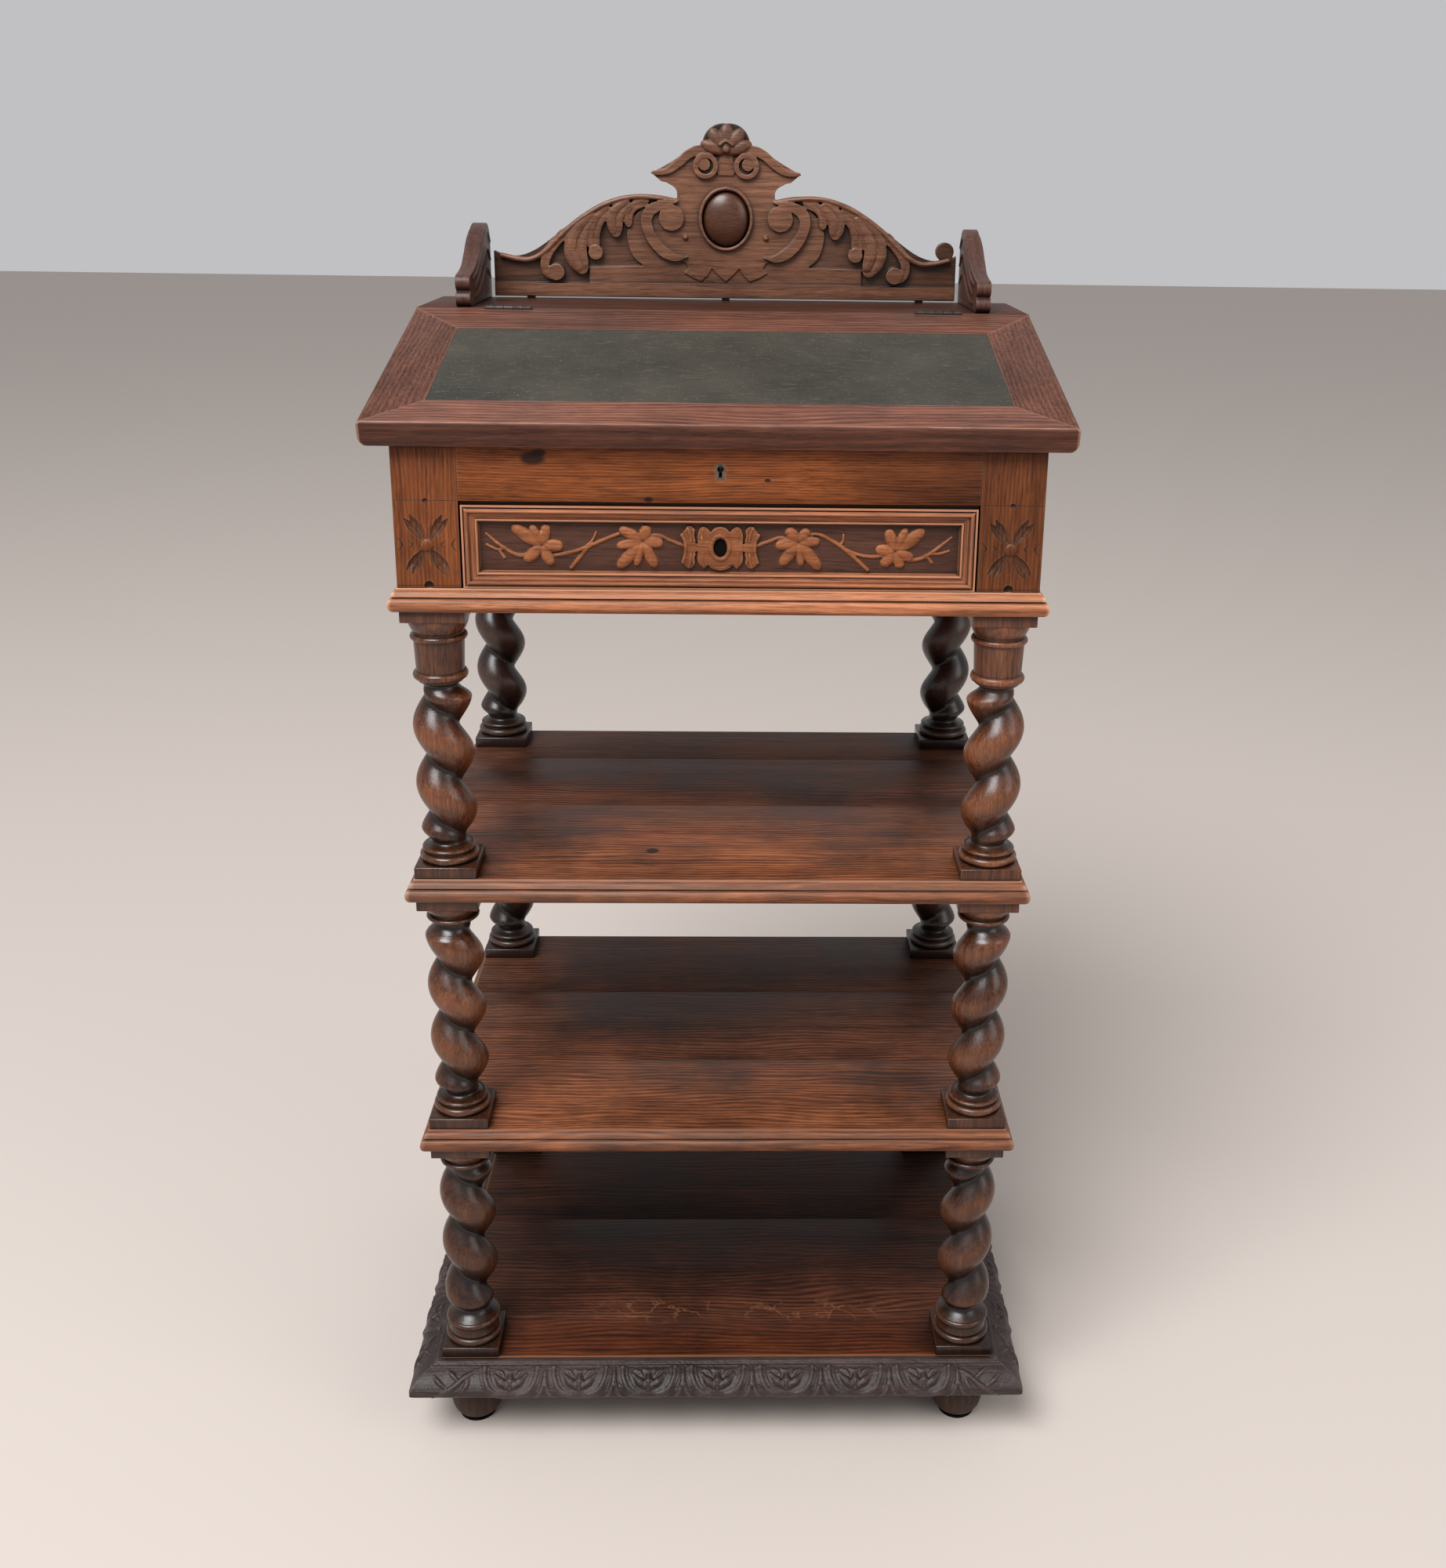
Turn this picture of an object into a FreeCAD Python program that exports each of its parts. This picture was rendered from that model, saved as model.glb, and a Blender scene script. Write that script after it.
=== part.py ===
import FreeCAD, Part
import math
import os
import Sketcher
from FreeCAD import Placement, Rotation, Vector
from types import SimpleNamespace

# Standing desk in the old Breton manner: a sloping lid over a shallow well and one drawer, carried by
# four barley-twist columns in three tiers with two shelves and a skirted base on bun feet.
# Millimetres. Origin on the floor under the middle of the base, +Z up, front towards -Y.

os.makedirs("parts", exist_ok=True)
doc = FreeCAD.newDocument("standing_desk")
sheet = doc.addObject("Spreadsheet::Sheet", "sizes")

driving = {
    # plan
    "column_spread": 549,
    "plinth_side": 62,
    "skirt_reach": 32.5,
    "skirt_bevel": 5,
    "skirt_face": 12,
    "skirt_lip": 6,
    "skirt_lip_thick": 2,
    "skirt_round": 34,
    "edge_reach": 9,
    # levels and thicknesses of the shelves
    "pad_height": 3,
    "foot_height": 63,
    "base_thick": 30,
    "lower_shelf_top": 388,
    "upper_shelf_top": 677,
    "shelf_thick": 24,
    "case_underside": 955,
    "case_floor_thick": 23,
    # feet
    "foot_pad_radius": 20.5,
    "foot_bun_radius": 29,
    "foot_neck_radius": 19,
    "foot_collar_height": 8,
    # turned columns
    "plinth_height": 12,
    "cap_height": 12,
    "torus_reach": 28.5,
    "torus_height": 10,
    "echinus_reach": 29.5,
    "echinus_height": 16,
    "ring_reach": 26,
    "ring_height": 8,
    "fillet_radius": 21,
    "fillet_height": 2,
    "collar_height": 6,
    "drum_height": 20,
    "shaft_height": 30,
    "shaft_radius": 24,
    "core_radius": 13,
    "twist_radius": 23,
    "twist_neck": 17,
    "twist_offset": 7.7,
    "twist_pitch": 61,
    "spigot_radius": 11,
    "spigot_length": 10,
    "spigot_clearance": 0.15,
    "socket_spare": 0.5,
    # case
    "stile_width": 61,
    "front_thick": 24,
    "side_thick": 18,
    "back_thick": 12,
    "case_height": 237,
    "drawer_height": 82,
    "well_floor_thick": 8,
    "guide_height": 28,
    # top
    "strip_depth": 161,
    "strip_thick": 18,
    "lid_drop": 77.6,
    "lid_overhang": 18.5,
    "lid_side_overhang": 25,
    "lid_thick": 24.5,
    "lid_side_width": 54,
    "lid_front_width": 53.5,
    "lid_back_width": 63,
    "lid_round": 3,
    "lid_clearance": 0.5,
    "panel_thick": 12,
    "leather_thick": 1.5,
    "leather_sink": 0.4,
    # hinges
    "hinge_spread": 463,
    "hinge_length": 50,
    "leaf_thick": 1.2,
    "leaf_depth": 15,
    "hinge_gap": 1.5,
    "knuckle_radius": 3.4,
    "knuckle_clearance": 0.4,
    "pin_radius": 1.7,
    "pin_clearance": 0.05,
    # gallery
    "gallery_width": 536,
    "gallery_height": 191,
    "gallery_thick": 18,
    "gallery_lift": 4.5,
    "volute_radius": 10.5,
    "peg_side": 9,
    "peg_inset": 42,
    "bracket_gap": 5,
    "bracket_thick": 16,
    "bracket_height": 84,
    "bracket_roll": 8.5,
    "bracket_setback": 4,
    # drawer
    "drawer_clearance": 1,
    "drawer_lift": 0.3,
    "drawer_front_thick": 18,
    "drawer_side_thick": 12,
    "drawer_side_height": 70,
    "drawer_length": 392,
    "drawer_back_gap": 18,
    "drawer_bottom_thick": 6,
    "drawer_bottom_lift": 6,
    "groove_depth": 5,
    "moulding_width": 16,
    "moulding_proud": 3,
    "moulding_bevel": 7.2,
    # locks
    "lock_width": 56,
    "lid_lock_height": 46,
    "lid_lock_thick": 20,
    "lock_plate": 2,
    "lock_relief": 1,
    "staple_plate_length": 28,
    "staple_plate_width": 15,
    "staple_plate_thick": 1.5,
    "staple_drop": 14,
    "staple_width": 10,
    "staple_thick": 3,
    "mouth_half": 4,
    "bolt_side": 4,
    "bolt_length": 20,
    "bolt_clearance": 0.3,
    "bolt_throw": 12,
    "bolt_spare": 2,
    "bolt_setback": 14,
    "eye_drop": 7.7,
    "eye_side": 5.5,
    "drawer_lock_height": 54,
    "drawer_lock_thick": 10,
    "drawer_bolt_width": 18,
    "drawer_bolt_rise": 7,
    "drawer_channel": 30,
    "keyhole_radius": 3,
    "keyhole_ease": 1,
    "keyhole_drop": 8,
    "escutcheon_rim": 2.5,
    "escutcheon_depth": 2,
    "lid_keyhole_rise": 32,
    "drawer_keyhole_rise": 41.7,
}
for row, (alias, number) in enumerate(driving.items(), 1):
    sheet.set(f"A{row}", alias.replace("_", " "))
    sheet.set(f"B{row}", str(number))
    sheet.setAlias(f"B{row}", alias)
doc.recompute()


# A size knows its number and the sheet formula it came from, so one sum in this script gives both the
# first guess of a sketch and the expression that keeps it bound to the sheet.
class Size:
    def __init__(self, number, formula):
        self.number = number
        self.formula = formula

    def __add__(self, other):
        return combine(self, "+", other)

    def __radd__(self, other):
        return combine(other, "+", self)

    def __sub__(self, other):
        return combine(self, "-", other)

    def __rsub__(self, other):
        return combine(other, "-", self)

    def __mul__(self, other):
        return combine(self, "*", other)

    def __rmul__(self, other):
        return combine(other, "*", self)

    def __truediv__(self, other):
        return combine(self, "/", other)

    def __neg__(self):
        return combine(0, "-", self)


def as_size(value):
    return value if isinstance(value, Size) else Size(float(value), repr(float(value)))


def combine(left, sign, right):
    a, b = as_size(left), as_size(right)
    result = {"+": a.number + b.number, "-": a.number - b.number, "*": a.number * b.number}
    number = a.number / b.number if sign == "/" else result[sign]
    return Size(number, f"({a.formula} {sign} {b.formula})")


def root(value):
    return Size(math.sqrt(value.number), f"sqrt({value.formula})")


# radius of an arc over this chord that rises this far from it
def arc_radius(chord, rise):
    return (chord * chord / 4 + rise * rise) / (2 * rise)


def slope_angle(tangent):
    return Size(math.degrees(math.atan(tangent.number)), f"atan({tangent.formula})")


dim = SimpleNamespace(**{name: Size(float(sheet.get(name)), "sizes." + name) for name in driving})


def bind(thing, path, value):
    thing.setExpression(path, as_size(value).formula)


def place(thing, x=0, y=0, z=0):
    for axis, value in zip("xyz", (x, y, z)):
        bind(thing, "Placement.Base." + axis, value)
    return thing


def add(kind, name):
    return doc.addObject(kind, name)


# plain solids, given by their least corner or the centre of their lower end
def box(name, length, width, height, x, y, z):
    thing = add("Part::Box", name)
    bind(thing, "Length", length)
    bind(thing, "Width", width)
    bind(thing, "Height", height)
    return place(thing, x, y, z)


def cylinder(name, radius, height, x, y, z, axis=Vector(0, 0, 1)):
    thing = add("Part::Cylinder", name)
    thing.Placement = Placement(Vector(), Rotation(Vector(0, 0, 1), axis))
    bind(thing, "Radius", radius)
    bind(thing, "Height", height)
    return place(thing, x, y, z)


def fuse(name, *shapes):
    thing = add("Part::MultiFuse", name)
    thing.Shapes = list(shapes)
    return thing


def cut(name, base, *tools):
    thing = add("Part::Cut", name)
    thing.Base = base
    thing.Tool = tools[0] if len(tools) == 1 else fuse(name + "_waste", *tools)
    return thing


def group(name, *shapes):
    thing = add("Part::Compound", name)
    thing.Links = list(shapes)
    return thing


def origin_part(body, role):
    return next(item for item in body.Origin.OriginFeatures if item.Role == role)


# An outline is a closed run of corners (u, v). A corner (u, v, radius, side) is reached by an arc of that
# radius whose centre lies to the left (+1) or right (-1) of the way there.
def arc_middle(start, end, radius, side):
    middle = (start + end) / 2
    chord = end - start
    reach = math.sqrt(max(radius ** 2 - (chord.Length / 2) ** 2, 0))
    normal = Vector(-chord.y, chord.x, 0).normalize()
    centre = middle + normal * reach * side
    return centre - normal * radius * side


def sketch(body, name, plane, outlines, closed=True, offset=0):
    drawing = body.newObject("Sketcher::SketchObject", name)
    drawing.AttachmentSupport = [(origin_part(body, plane), "")]
    drawing.MapMode = "FlatFace"
    bind(drawing, "AttachmentOffset.Base.z", offset)
    for outline in outlines:
        points = [Vector(as_size(corner[0]).number, as_size(corner[1]).number, 0) for corner in outline]
        first = drawing.GeometryCount
        ends = list(zip(points, points[1:], outline[1:]))
        if closed:
            ends.append((points[-1], points[0], outline[0]))
        for start, end, corner in ends:
            if len(corner) == 2:
                drawing.addGeometry(Part.LineSegment(start, end))
            else:
                middle = arc_middle(start, end, as_size(corner[2]).number, corner[3])
                through = (start, middle, end) if corner[3] > 0 else (end, middle, start)
                drawing.addGeometry(Part.Arc(*through))
        bind_outline(drawing, outline, points, first, closed)
    return drawing


def end_near(drawing, index, point):
    edge = drawing.Geometry[index]
    return 1 if (edge.StartPoint - point).Length < (edge.EndPoint - point).Length else 2


def bind_constraint(drawing, value, kind, *where):
    number = drawing.addConstraint(Sketcher.Constraint(kind, *where, value.number))
    drawing.setExpression(f"Constraints[{number}]", value.formula)


# joins the edges of an outline and fixes each corner, and each arc, by a formula of the sheet
def bind_outline(drawing, outline, points, first, closed):
    last = drawing.GeometryCount - 1
    for index, (corner, point) in enumerate(zip(outline, points)):
        after = min(first + index, last)
        before = first + index - 1 if index else last
        end = end_near(drawing, after, point)
        if after != before and (closed or index):
            joined = end_near(drawing, before, point)
            drawing.addConstraint(Sketcher.Constraint("Coincident", before, joined, after, end))
        for kind, axis, value in zip(("DistanceX", "DistanceY"), (-2, -1), corner):
            if abs(as_size(value).number) < 1e-9:
                drawing.addConstraint(Sketcher.Constraint("PointOnObject", after, end, axis))
            else:
                bind_constraint(drawing, as_size(value), kind, -1, 1, after, end)
        if len(corner) == 4:
            bind_constraint(drawing, as_size(corner[2]), "Radius", before)


def pad(name, plane, length, *outlines, offset=0):
    body = add("PartDesign::Body", name)
    drawing = sketch(body, name + "_outline", plane, outlines, offset=offset)
    feature = body.newObject("PartDesign::Pad", name + "_pad")
    feature.Profile = drawing
    bind(feature, "Length", length)
    return body


# rounds or bevels the long edges of a body whose two ends both pass a test
def ease(body, kind, size_name, amount, least_length, chosen):
    doc.recompute()
    base = body.Tip
    names = [f"Edge{number}" for number, edge in enumerate(base.Shape.Edges, 1)
             if edge.Length > least_length.number and all(chosen(end.Point) for end in edge.Vertexes)]
    feature = body.newObject("PartDesign::" + kind, f"{body.Name}_{kind.lower()}")
    feature.Base = (base, names)
    bind(feature, size_name, amount)
    return body


def turn(name, outline):
    body = add("PartDesign::Body", name)
    drawing = sketch(body, name + "_profile", "XZ_Plane", [outline])
    feature = body.newObject("PartDesign::Revolution", name + "_turned")
    feature.Profile = drawing
    feature.ReferenceAxis = (origin_part(body, "Z_Axis"), [""])
    feature.Angle = 360
    return body


nodes = []


def node(thing, name):
    thing.Label = name
    nodes.append(thing)
    return thing


# Plan shared by every level
width = dim.column_spread + dim.plinth_side
depth = dim.front_thick + dim.drawer_length + dim.drawer_back_gap + dim.back_thick
half_width = width / 2
front = (dim.skirt_reach - depth) / 2
back = front + depth
column_x = dim.column_spread / 2
front_row = front + dim.plinth_side / 2
rear_row = back - dim.plinth_side / 2
corners = {
    "front_left": (-column_x, front_row),
    "front_right": (column_x, front_row),
    "rear_left": (-column_x, rear_row),
    "rear_right": (column_x, rear_row),
}
base_underside = dim.pad_height + dim.foot_height
base_top = base_underside + dim.base_thick
waste_margin = 1
socket_depth = dim.spigot_length + dim.socket_spare
socket_radius = dim.spigot_radius + dim.spigot_clearance


# round sockets for the column and foot spigots, bored up or down from a face at this level
def sockets(name, level, upward):
    bottom = level if upward else level - socket_depth
    return [cylinder(f"{name}_{place_name}", socket_radius, socket_depth, x, y, bottom)
            for place_name, (x, y) in corners.items()]


# Bun feet, each turned with a spigot and shod with a pad
def foot(name, x, y):
    top = dim.foot_height
    neck = top - dim.foot_collar_height
    bun = arc_radius(neck, dim.foot_bun_radius - dim.foot_neck_radius)
    body = turn(name, [
        (0, 0),
        (dim.foot_pad_radius, 0),
        (dim.foot_neck_radius, neck, bun, 1),
        (dim.torus_reach, neck),
        (dim.torus_reach, top),
        (dim.spigot_radius, top),
        (dim.spigot_radius, top + dim.spigot_length),
        (0, top + dim.spigot_length),
    ])
    return place(body, x, y, dim.pad_height)


for corner_name, (x, y) in corners.items():
    node(foot("foot_" + corner_name, x, y), "foot_" + corner_name)
pads = [cylinder("pad_" + corner_name, dim.foot_pad_radius, dim.pad_height, x, y, 0)
        for corner_name, (x, y) in corners.items()]
node(group("foot_pads", *pads), "foot_pads")

# Base board with its three skirts, mitred at the front corners
base_blank = box("base_blank", width, depth, dim.base_thick, -half_width, front, base_underside)
node(cut("base_board", base_blank, *sockets("foot_socket", base_underside, True),
         *sockets("base_socket", base_top, False)), "base_board")


def skirt_outline(sense):
    reach, rise = dim.skirt_reach, dim.base_thick
    return [
        (0, 0),
        (sense * (reach - dim.skirt_bevel), 0),
        (sense * reach, dim.skirt_bevel),
        (sense * reach, dim.skirt_face),
        (sense * dim.skirt_lip, rise - dim.skirt_lip_thick, dim.skirt_round, sense),
        (sense * dim.skirt_lip, rise),
        (0, rise),
    ]


def mitre_block(name, x, y, angle):
    block = add("Part::Box", name)
    block.Placement = Placement(Vector(), Rotation(Vector(0, 0, 1), angle))
    side = 3 * dim.skirt_reach
    for path in ("Length", "Width"):
        bind(block, path, side)
    bind(block, "Height", dim.base_thick + 2 * waste_margin)
    return place(block, x, y, base_underside - waste_margin)


front_run = pad("skirt_front_run", "YZ_Plane", width + 2 * dim.skirt_reach, skirt_outline(-1))
place(front_run, -half_width - dim.skirt_reach, front, base_underside)
node(cut("skirt_front", front_run, mitre_block("mitre_front_left", -half_width, front, 135),
         mitre_block("mitre_front_right", half_width, front, -45)), "skirt_front")
for hand, sense in (("left", -1), ("right", 1)):
    side_run = pad(f"skirt_{hand}_run", "XZ_Plane", depth + dim.skirt_reach, skirt_outline(sense))
    place(side_run, sense * half_width, back, base_underside)
    waste = mitre_block(f"mitre_{hand}", sense * half_width, front, 225)
    node(cut(f"skirt_{hand}", side_run, waste), f"skirt_{hand}")


# Shelves and case floor: a board with a nosing worked along the front and both ends
def moulded_board(name, top, thick, bores):
    body = pad(name + "_board", "XY_Plane", thick,
               [(-half_width, front), (half_width, front), (half_width, back), (-half_width, back)])
    path = sketch(body, name + "_path", "XY_Plane",
                  [[(-half_width, back), (-half_width, front), (half_width, front), (half_width, back)]],
                  closed=False)
    lip = dim.edge_reach / 3
    swell = dim.edge_reach - lip
    fillet = thick / 6
    roundness = arc_radius(thick - 2 * fillet, swell)
    nose = sketch(body, name + "_nose", "XZ_Plane", [[
        (-half_width, 0),
        (-half_width, thick),
        (-half_width - lip, thick),
        (-half_width - lip, thick - fillet),
        (-half_width - lip, fillet, roundness, 1),
        (-half_width - lip, 0),
    ]], offset=-back)
    run = body.newObject("PartDesign::AdditivePipe", name + "_nosing")
    run.Profile = nose
    run.Spine = (path, [])
    run.Transition = "Right corner"
    place(body, 0, 0, top - thick)
    return cut(name, body, *bores) if bores else body


for name, top in (("lower_shelf", dim.lower_shelf_top), ("upper_shelf", dim.upper_shelf_top)):
    bores = sockets(name + "_over", top, False) + sockets(name + "_under", top - dim.shelf_thick, True)
    node(moulded_board(name, top, dim.shelf_thick, bores), name)
case_floor_top = dim.case_underside + dim.case_floor_thick
node(moulded_board("case_floor", case_floor_top, dim.case_floor_thick,
                   sockets("case_socket", dim.case_underside, True)), "case_floor")

# Columns: square plinth and cap, turned mouldings, and a twist that winds one way on the left and the
# other way on the right. A moulding is (height, reach, rounded), read away from the plinth or the cap.
steps_per_turn = 8
fade_steps = 3
bead_rise = 0.42
torus = (dim.torus_height, dim.torus_reach, True)
echinus = (dim.echinus_height, dim.echinus_reach, True)
ring = (dim.ring_height, dim.ring_reach, True)
fillet = (dim.fillet_height, dim.fillet_radius, False)
collar = (dim.collar_height, dim.fillet_radius, False)
drum = (dim.drum_height, dim.shaft_radius, False)
shaft = (dim.shaft_height, dim.shaft_radius, False)


# corners of the turned outline for a run of mouldings upwards from this level
def moulded(level, rows):
    outline = []
    for height, reach, rounded in rows:
        inner = reach - bead_rise * height if rounded else reach
        outline.append((inner, level))
        level = level + height
        bead = (arc_radius(height, bead_rise * height), 1)
        outline.append((inner, level, *bead) if rounded else (inner, level))
    return outline


def turned_column(name, height, foot_rows, head_rows):
    twist_start = dim.plinth_height + sum(row[0] for row in foot_rows)
    cap_under = height - dim.cap_height
    twist_end = cap_under - sum(row[0] for row in head_rows)
    body = turn(name, [
        (0, -dim.spigot_length),
        (dim.spigot_radius, -dim.spigot_length),
        (dim.spigot_radius, dim.plinth_height),
        *moulded(dim.plinth_height, foot_rows),
        (dim.core_radius, twist_start),
        (dim.core_radius, twist_end),
        *moulded(twist_end, reversed(head_rows)),
        (dim.spigot_radius, cap_under),
        (dim.spigot_radius, height + dim.spigot_length),
        (0, height + dim.spigot_length),
    ])
    return body, twist_start, twist_end


# the twist is a round section carried along a helix, drawn in to a neck at both ends
def twist(name, length, sense, start_turn):
    steps = round(steps_per_turn * length / dim.twist_pitch.number)
    neck, full = dim.twist_neck.number, dim.twist_radius.number
    sections = []
    for step in range(steps + 1):
        fade = min(1, step / fade_steps, (steps - step) / fade_steps)
        turn_angle = sense * 2 * math.pi * (start_turn + step / steps_per_turn)
        centre = Vector(math.sin(turn_angle), -math.cos(turn_angle), 0) * dim.twist_offset.number * fade
        centre.z = length * step / steps
        circle = Part.Circle(centre, Vector(0, 0, 1), neck + (full - neck) * fade)
        sections.append(Part.Wire(circle.toShape()))
    thing = add("Part::Feature", name)
    thing.Shape = Part.makeLoft(sections, True, True)
    return thing


def column(name, x, y, sense, tier):
    height = tier.ceiling - tier.level
    body, twist_start, twist_end = turned_column(name + "_turned", height, tier.foot, tier.head)
    place(body, x, y, tier.level)
    rope = twist(name + "_twist", (twist_end - twist_start).number, sense, tier.start_turn)
    place(rope, x, y, tier.level + twist_start)
    side = dim.plinth_side
    plinth = box(name + "_plinth", side, side, dim.plinth_height, x - side / 2, y - side / 2, tier.level)
    cap = box(name + "_cap", side, side, dim.cap_height, x - side / 2, y - side / 2,
              tier.ceiling - dim.cap_height)
    return fuse(name, body, rope, plinth, cap)


tiers = {
    "lower": SimpleNamespace(level=base_top, ceiling=dim.lower_shelf_top - dim.shelf_thick, start_turn=-0.17,
                             foot=(torus, drum, ring), head=(torus, fillet, ring)),
    "middle": SimpleNamespace(level=dim.lower_shelf_top, ceiling=dim.upper_shelf_top - dim.shelf_thick,
                              start_turn=0.14, foot=(torus, fillet, ring), head=(torus, fillet, ring)),
    "upper": SimpleNamespace(level=dim.upper_shelf_top, ceiling=dim.case_underside, start_turn=0.18,
                             foot=(torus, fillet, ring), head=(echinus, ring, shaft, ring, collar)),
}
for tier_name, tier in tiers.items():
    for corner_name, (x, y) in corners.items():
        name = f"column_{tier_name}_{corner_name}"
        node(column(name, x, y, 1 if corner_name.endswith("right") else -1, tier), name)

# Case: corner stiles, sides and a rail cut to the slope of the lid, a back, and the floor of the well
hinge_y = back - dim.strip_depth
lid_run = hinge_y - front + dim.lid_overhang
slope = dim.lid_drop / lid_run
lid_length = root(lid_run * lid_run + dim.lid_drop * dim.lid_drop)
upright_lid = (dim.lid_thick + dim.lid_clearance) * lid_length / lid_run
strip_top = case_floor_top + dim.case_height
strip_underside = strip_top - dim.strip_thick
drawer_opening = half_width - dim.stile_width
well_floor_under = case_floor_top + dim.drawer_height + 2 * dim.drawer_clearance
lid_keyhole_level = well_floor_under + dim.lid_keyhole_rise
inner_half = half_width - dim.side_thick
inner_front = front + dim.front_thick
inner_back = back - dim.back_thick


# height of the sloping top edges of the case under the lid
def lid_seat(y):
    return strip_top - (hinge_y - y) * slope - upright_lid


seat_end = hinge_y + dim.lid_thick * slope
for hand, sense in (("left", -1), ("right", 1)):
    stile = pad(f"stile_{hand}", "YZ_Plane", dim.stile_width, [
        (front, case_floor_top),
        (inner_front, case_floor_top),
        (inner_front, lid_seat(inner_front)),
        (front, lid_seat(front)),
    ])
    node(place(stile, -half_width if sense < 0 else drawer_opening), f"stile_{hand}")
    side = pad(f"side_{hand}", "YZ_Plane", dim.side_thick, [
        (inner_front, case_floor_top),
        (back, case_floor_top),
        (back, strip_underside),
        (seat_end, strip_underside),
        (seat_end, lid_seat(seat_end)),
        (inner_front, lid_seat(inner_front)),
    ])
    node(place(side, -half_width if sense < 0 else inner_half), f"side_{hand}")
    guide_width = inner_half - drawer_opening
    node(box(f"guide_{hand}", guide_width, inner_back - inner_front, dim.guide_height,
             -inner_half if sense < 0 else drawer_opening, inner_front, case_floor_top), f"guide_{hand}")
node(box("case_back", 2 * inner_half, dim.back_thick, strip_underside - case_floor_top,
         -inner_half, inner_back, case_floor_top), "case_back")
node(box("well_floor", 2 * inner_half, inner_back - inner_front, dim.well_floor_thick,
         -inner_half, inner_front, well_floor_under), "well_floor")

# Locks share these places: the key's axis is x = 0, and each bolt runs in a channel with clearance
def keyhole(name, grow, y, length, level):
    slot_half = dim.keyhole_radius / 2 + grow
    return [
        cylinder(name + "_round", dim.keyhole_radius + grow, length, 0, y, level, Vector(0, 1, 0)),
        box(name + "_slot", 2 * slot_half, length, dim.keyhole_drop + grow, -slot_half, y,
            level - dim.keyhole_drop - grow),
    ]


drawer_top = case_floor_top + dim.drawer_lift + dim.drawer_height
drawer_bolt_y = inner_front - dim.drawer_lock_thick / 2
drawer_bolt_half = dim.drawer_bolt_width / 2

# Rail over the drawer, bored for the lid key and mortised below for the drawer bolt
rail_blank = pad("rail_blank", "YZ_Plane", 2 * drawer_opening, [
    (front, well_floor_under),
    (inner_front, well_floor_under),
    (inner_front, lid_seat(inner_front)),
    (front, lid_seat(front)),
])
place(rail_blank, -drawer_opening)
bolt_slack = 2 * dim.bolt_clearance
rail_mortise = box("rail_mortise", dim.drawer_bolt_width + 2 * bolt_slack, dim.bolt_side + 2 * bolt_slack,
                   dim.drawer_bolt_rise + dim.bolt_spare, -drawer_bolt_half - bolt_slack,
                   drawer_bolt_y - dim.bolt_side / 2 - bolt_slack, well_floor_under)
node(cut("front_rail", rail_blank, rail_mortise,
         *keyhole("rail_keyhole", 0, front, dim.front_thick, lid_keyhole_level),
         *keyhole("rail_seat", dim.escutcheon_rim, front, dim.escutcheon_depth, lid_keyhole_level)),
     "front_rail")
escutcheon_blank = fuse("escutcheon_blank", *keyhole("escutcheon", dim.escutcheon_rim, front,
                                                     dim.escutcheon_depth, lid_keyhole_level))
node(cut("lid_escutcheon", escutcheon_blank, *keyhole("escutcheon_hole", 0, front, dim.escutcheon_depth,
                                                      lid_keyhole_level)), "lid_escutcheon")

# Lid and hinges are drawn flat about the hinge line, then laid on the slope
lid_half = half_width + dim.lid_side_overhang
field_half = lid_half - dim.lid_side_width
field_back = -dim.lid_back_width
field_front = dim.lid_front_width - lid_length
hinge_centres = (-dim.hinge_spread / 2, dim.hinge_spread / 2)
knuckle_room = dim.knuckle_radius + dim.knuckle_clearance


def on_lid(thing):
    thing.Placement = Placement(Vector(), Rotation(Vector(1, 0, 0), slope_angle(slope).number))
    bind(thing, "Placement.Rotation.Angle", slope_angle(slope))
    return place(thing, 0, hinge_y, strip_top)


def knuckle_notches(name, y, level):
    length = dim.hinge_length + 2 * dim.knuckle_clearance
    return [box(f"{name}_{number}", length, knuckle_room, knuckle_room + waste_margin, x - length / 2, y,
                level - knuckle_room) for number, x in enumerate(hinge_centres)]


def lid_member(name, outline):
    return pad(name, "XY_Plane", dim.lid_thick, outline, offset=-dim.lid_thick)


back_rail = lid_member("lid_rail_back_blank", [
    (-lid_half, -dim.hinge_gap),
    (-field_half, field_back),
    (field_half, field_back),
    (lid_half, -dim.hinge_gap),
])
node(on_lid(cut("lid_rail_back", back_rail, *knuckle_notches("lid_notch", -knuckle_room, Size(0, "0")))),
     "lid_rail_back")
front_member = lid_member("lid_rail_front", [
    (-lid_half, -lid_length),
    (lid_half, -lid_length),
    (field_half, field_front),
    (-field_half, field_front),
])
ease(front_member, "Fillet", "Radius", dim.lid_round, 2 * dim.lid_thick,
     lambda point: point.y < 0.01 - lid_length.number)
node(on_lid(front_member), "lid_rail_front")
for hand, sense in (("left", -1), ("right", 1)):
    side_member = lid_member(f"lid_stile_{hand}", [
        (sense * lid_half, -dim.hinge_gap),
        (sense * lid_half, -lid_length),
        (sense * field_half, field_front),
        (sense * field_half, field_back),
    ])
    ease(side_member, "Fillet", "Radius", dim.lid_round, 2 * dim.lid_thick,
         lambda point: abs(point.x) > lid_half.number - 0.01)
    node(on_lid(side_member), f"lid_stile_{hand}")
field = [
    (-field_half, field_front),
    (field_half, field_front),
    (field_half, field_back),
    (-field_half, field_back),
]
leather_under = -(dim.leather_sink + dim.leather_thick)
node(on_lid(pad("lid_panel", "XY_Plane", dim.panel_thick, field, offset=leather_under - dim.panel_thick)),
     "lid_panel")
node(on_lid(pad("lid_leather", "XY_Plane", dim.leather_thick, field, offset=leather_under)), "lid_leather")

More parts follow.
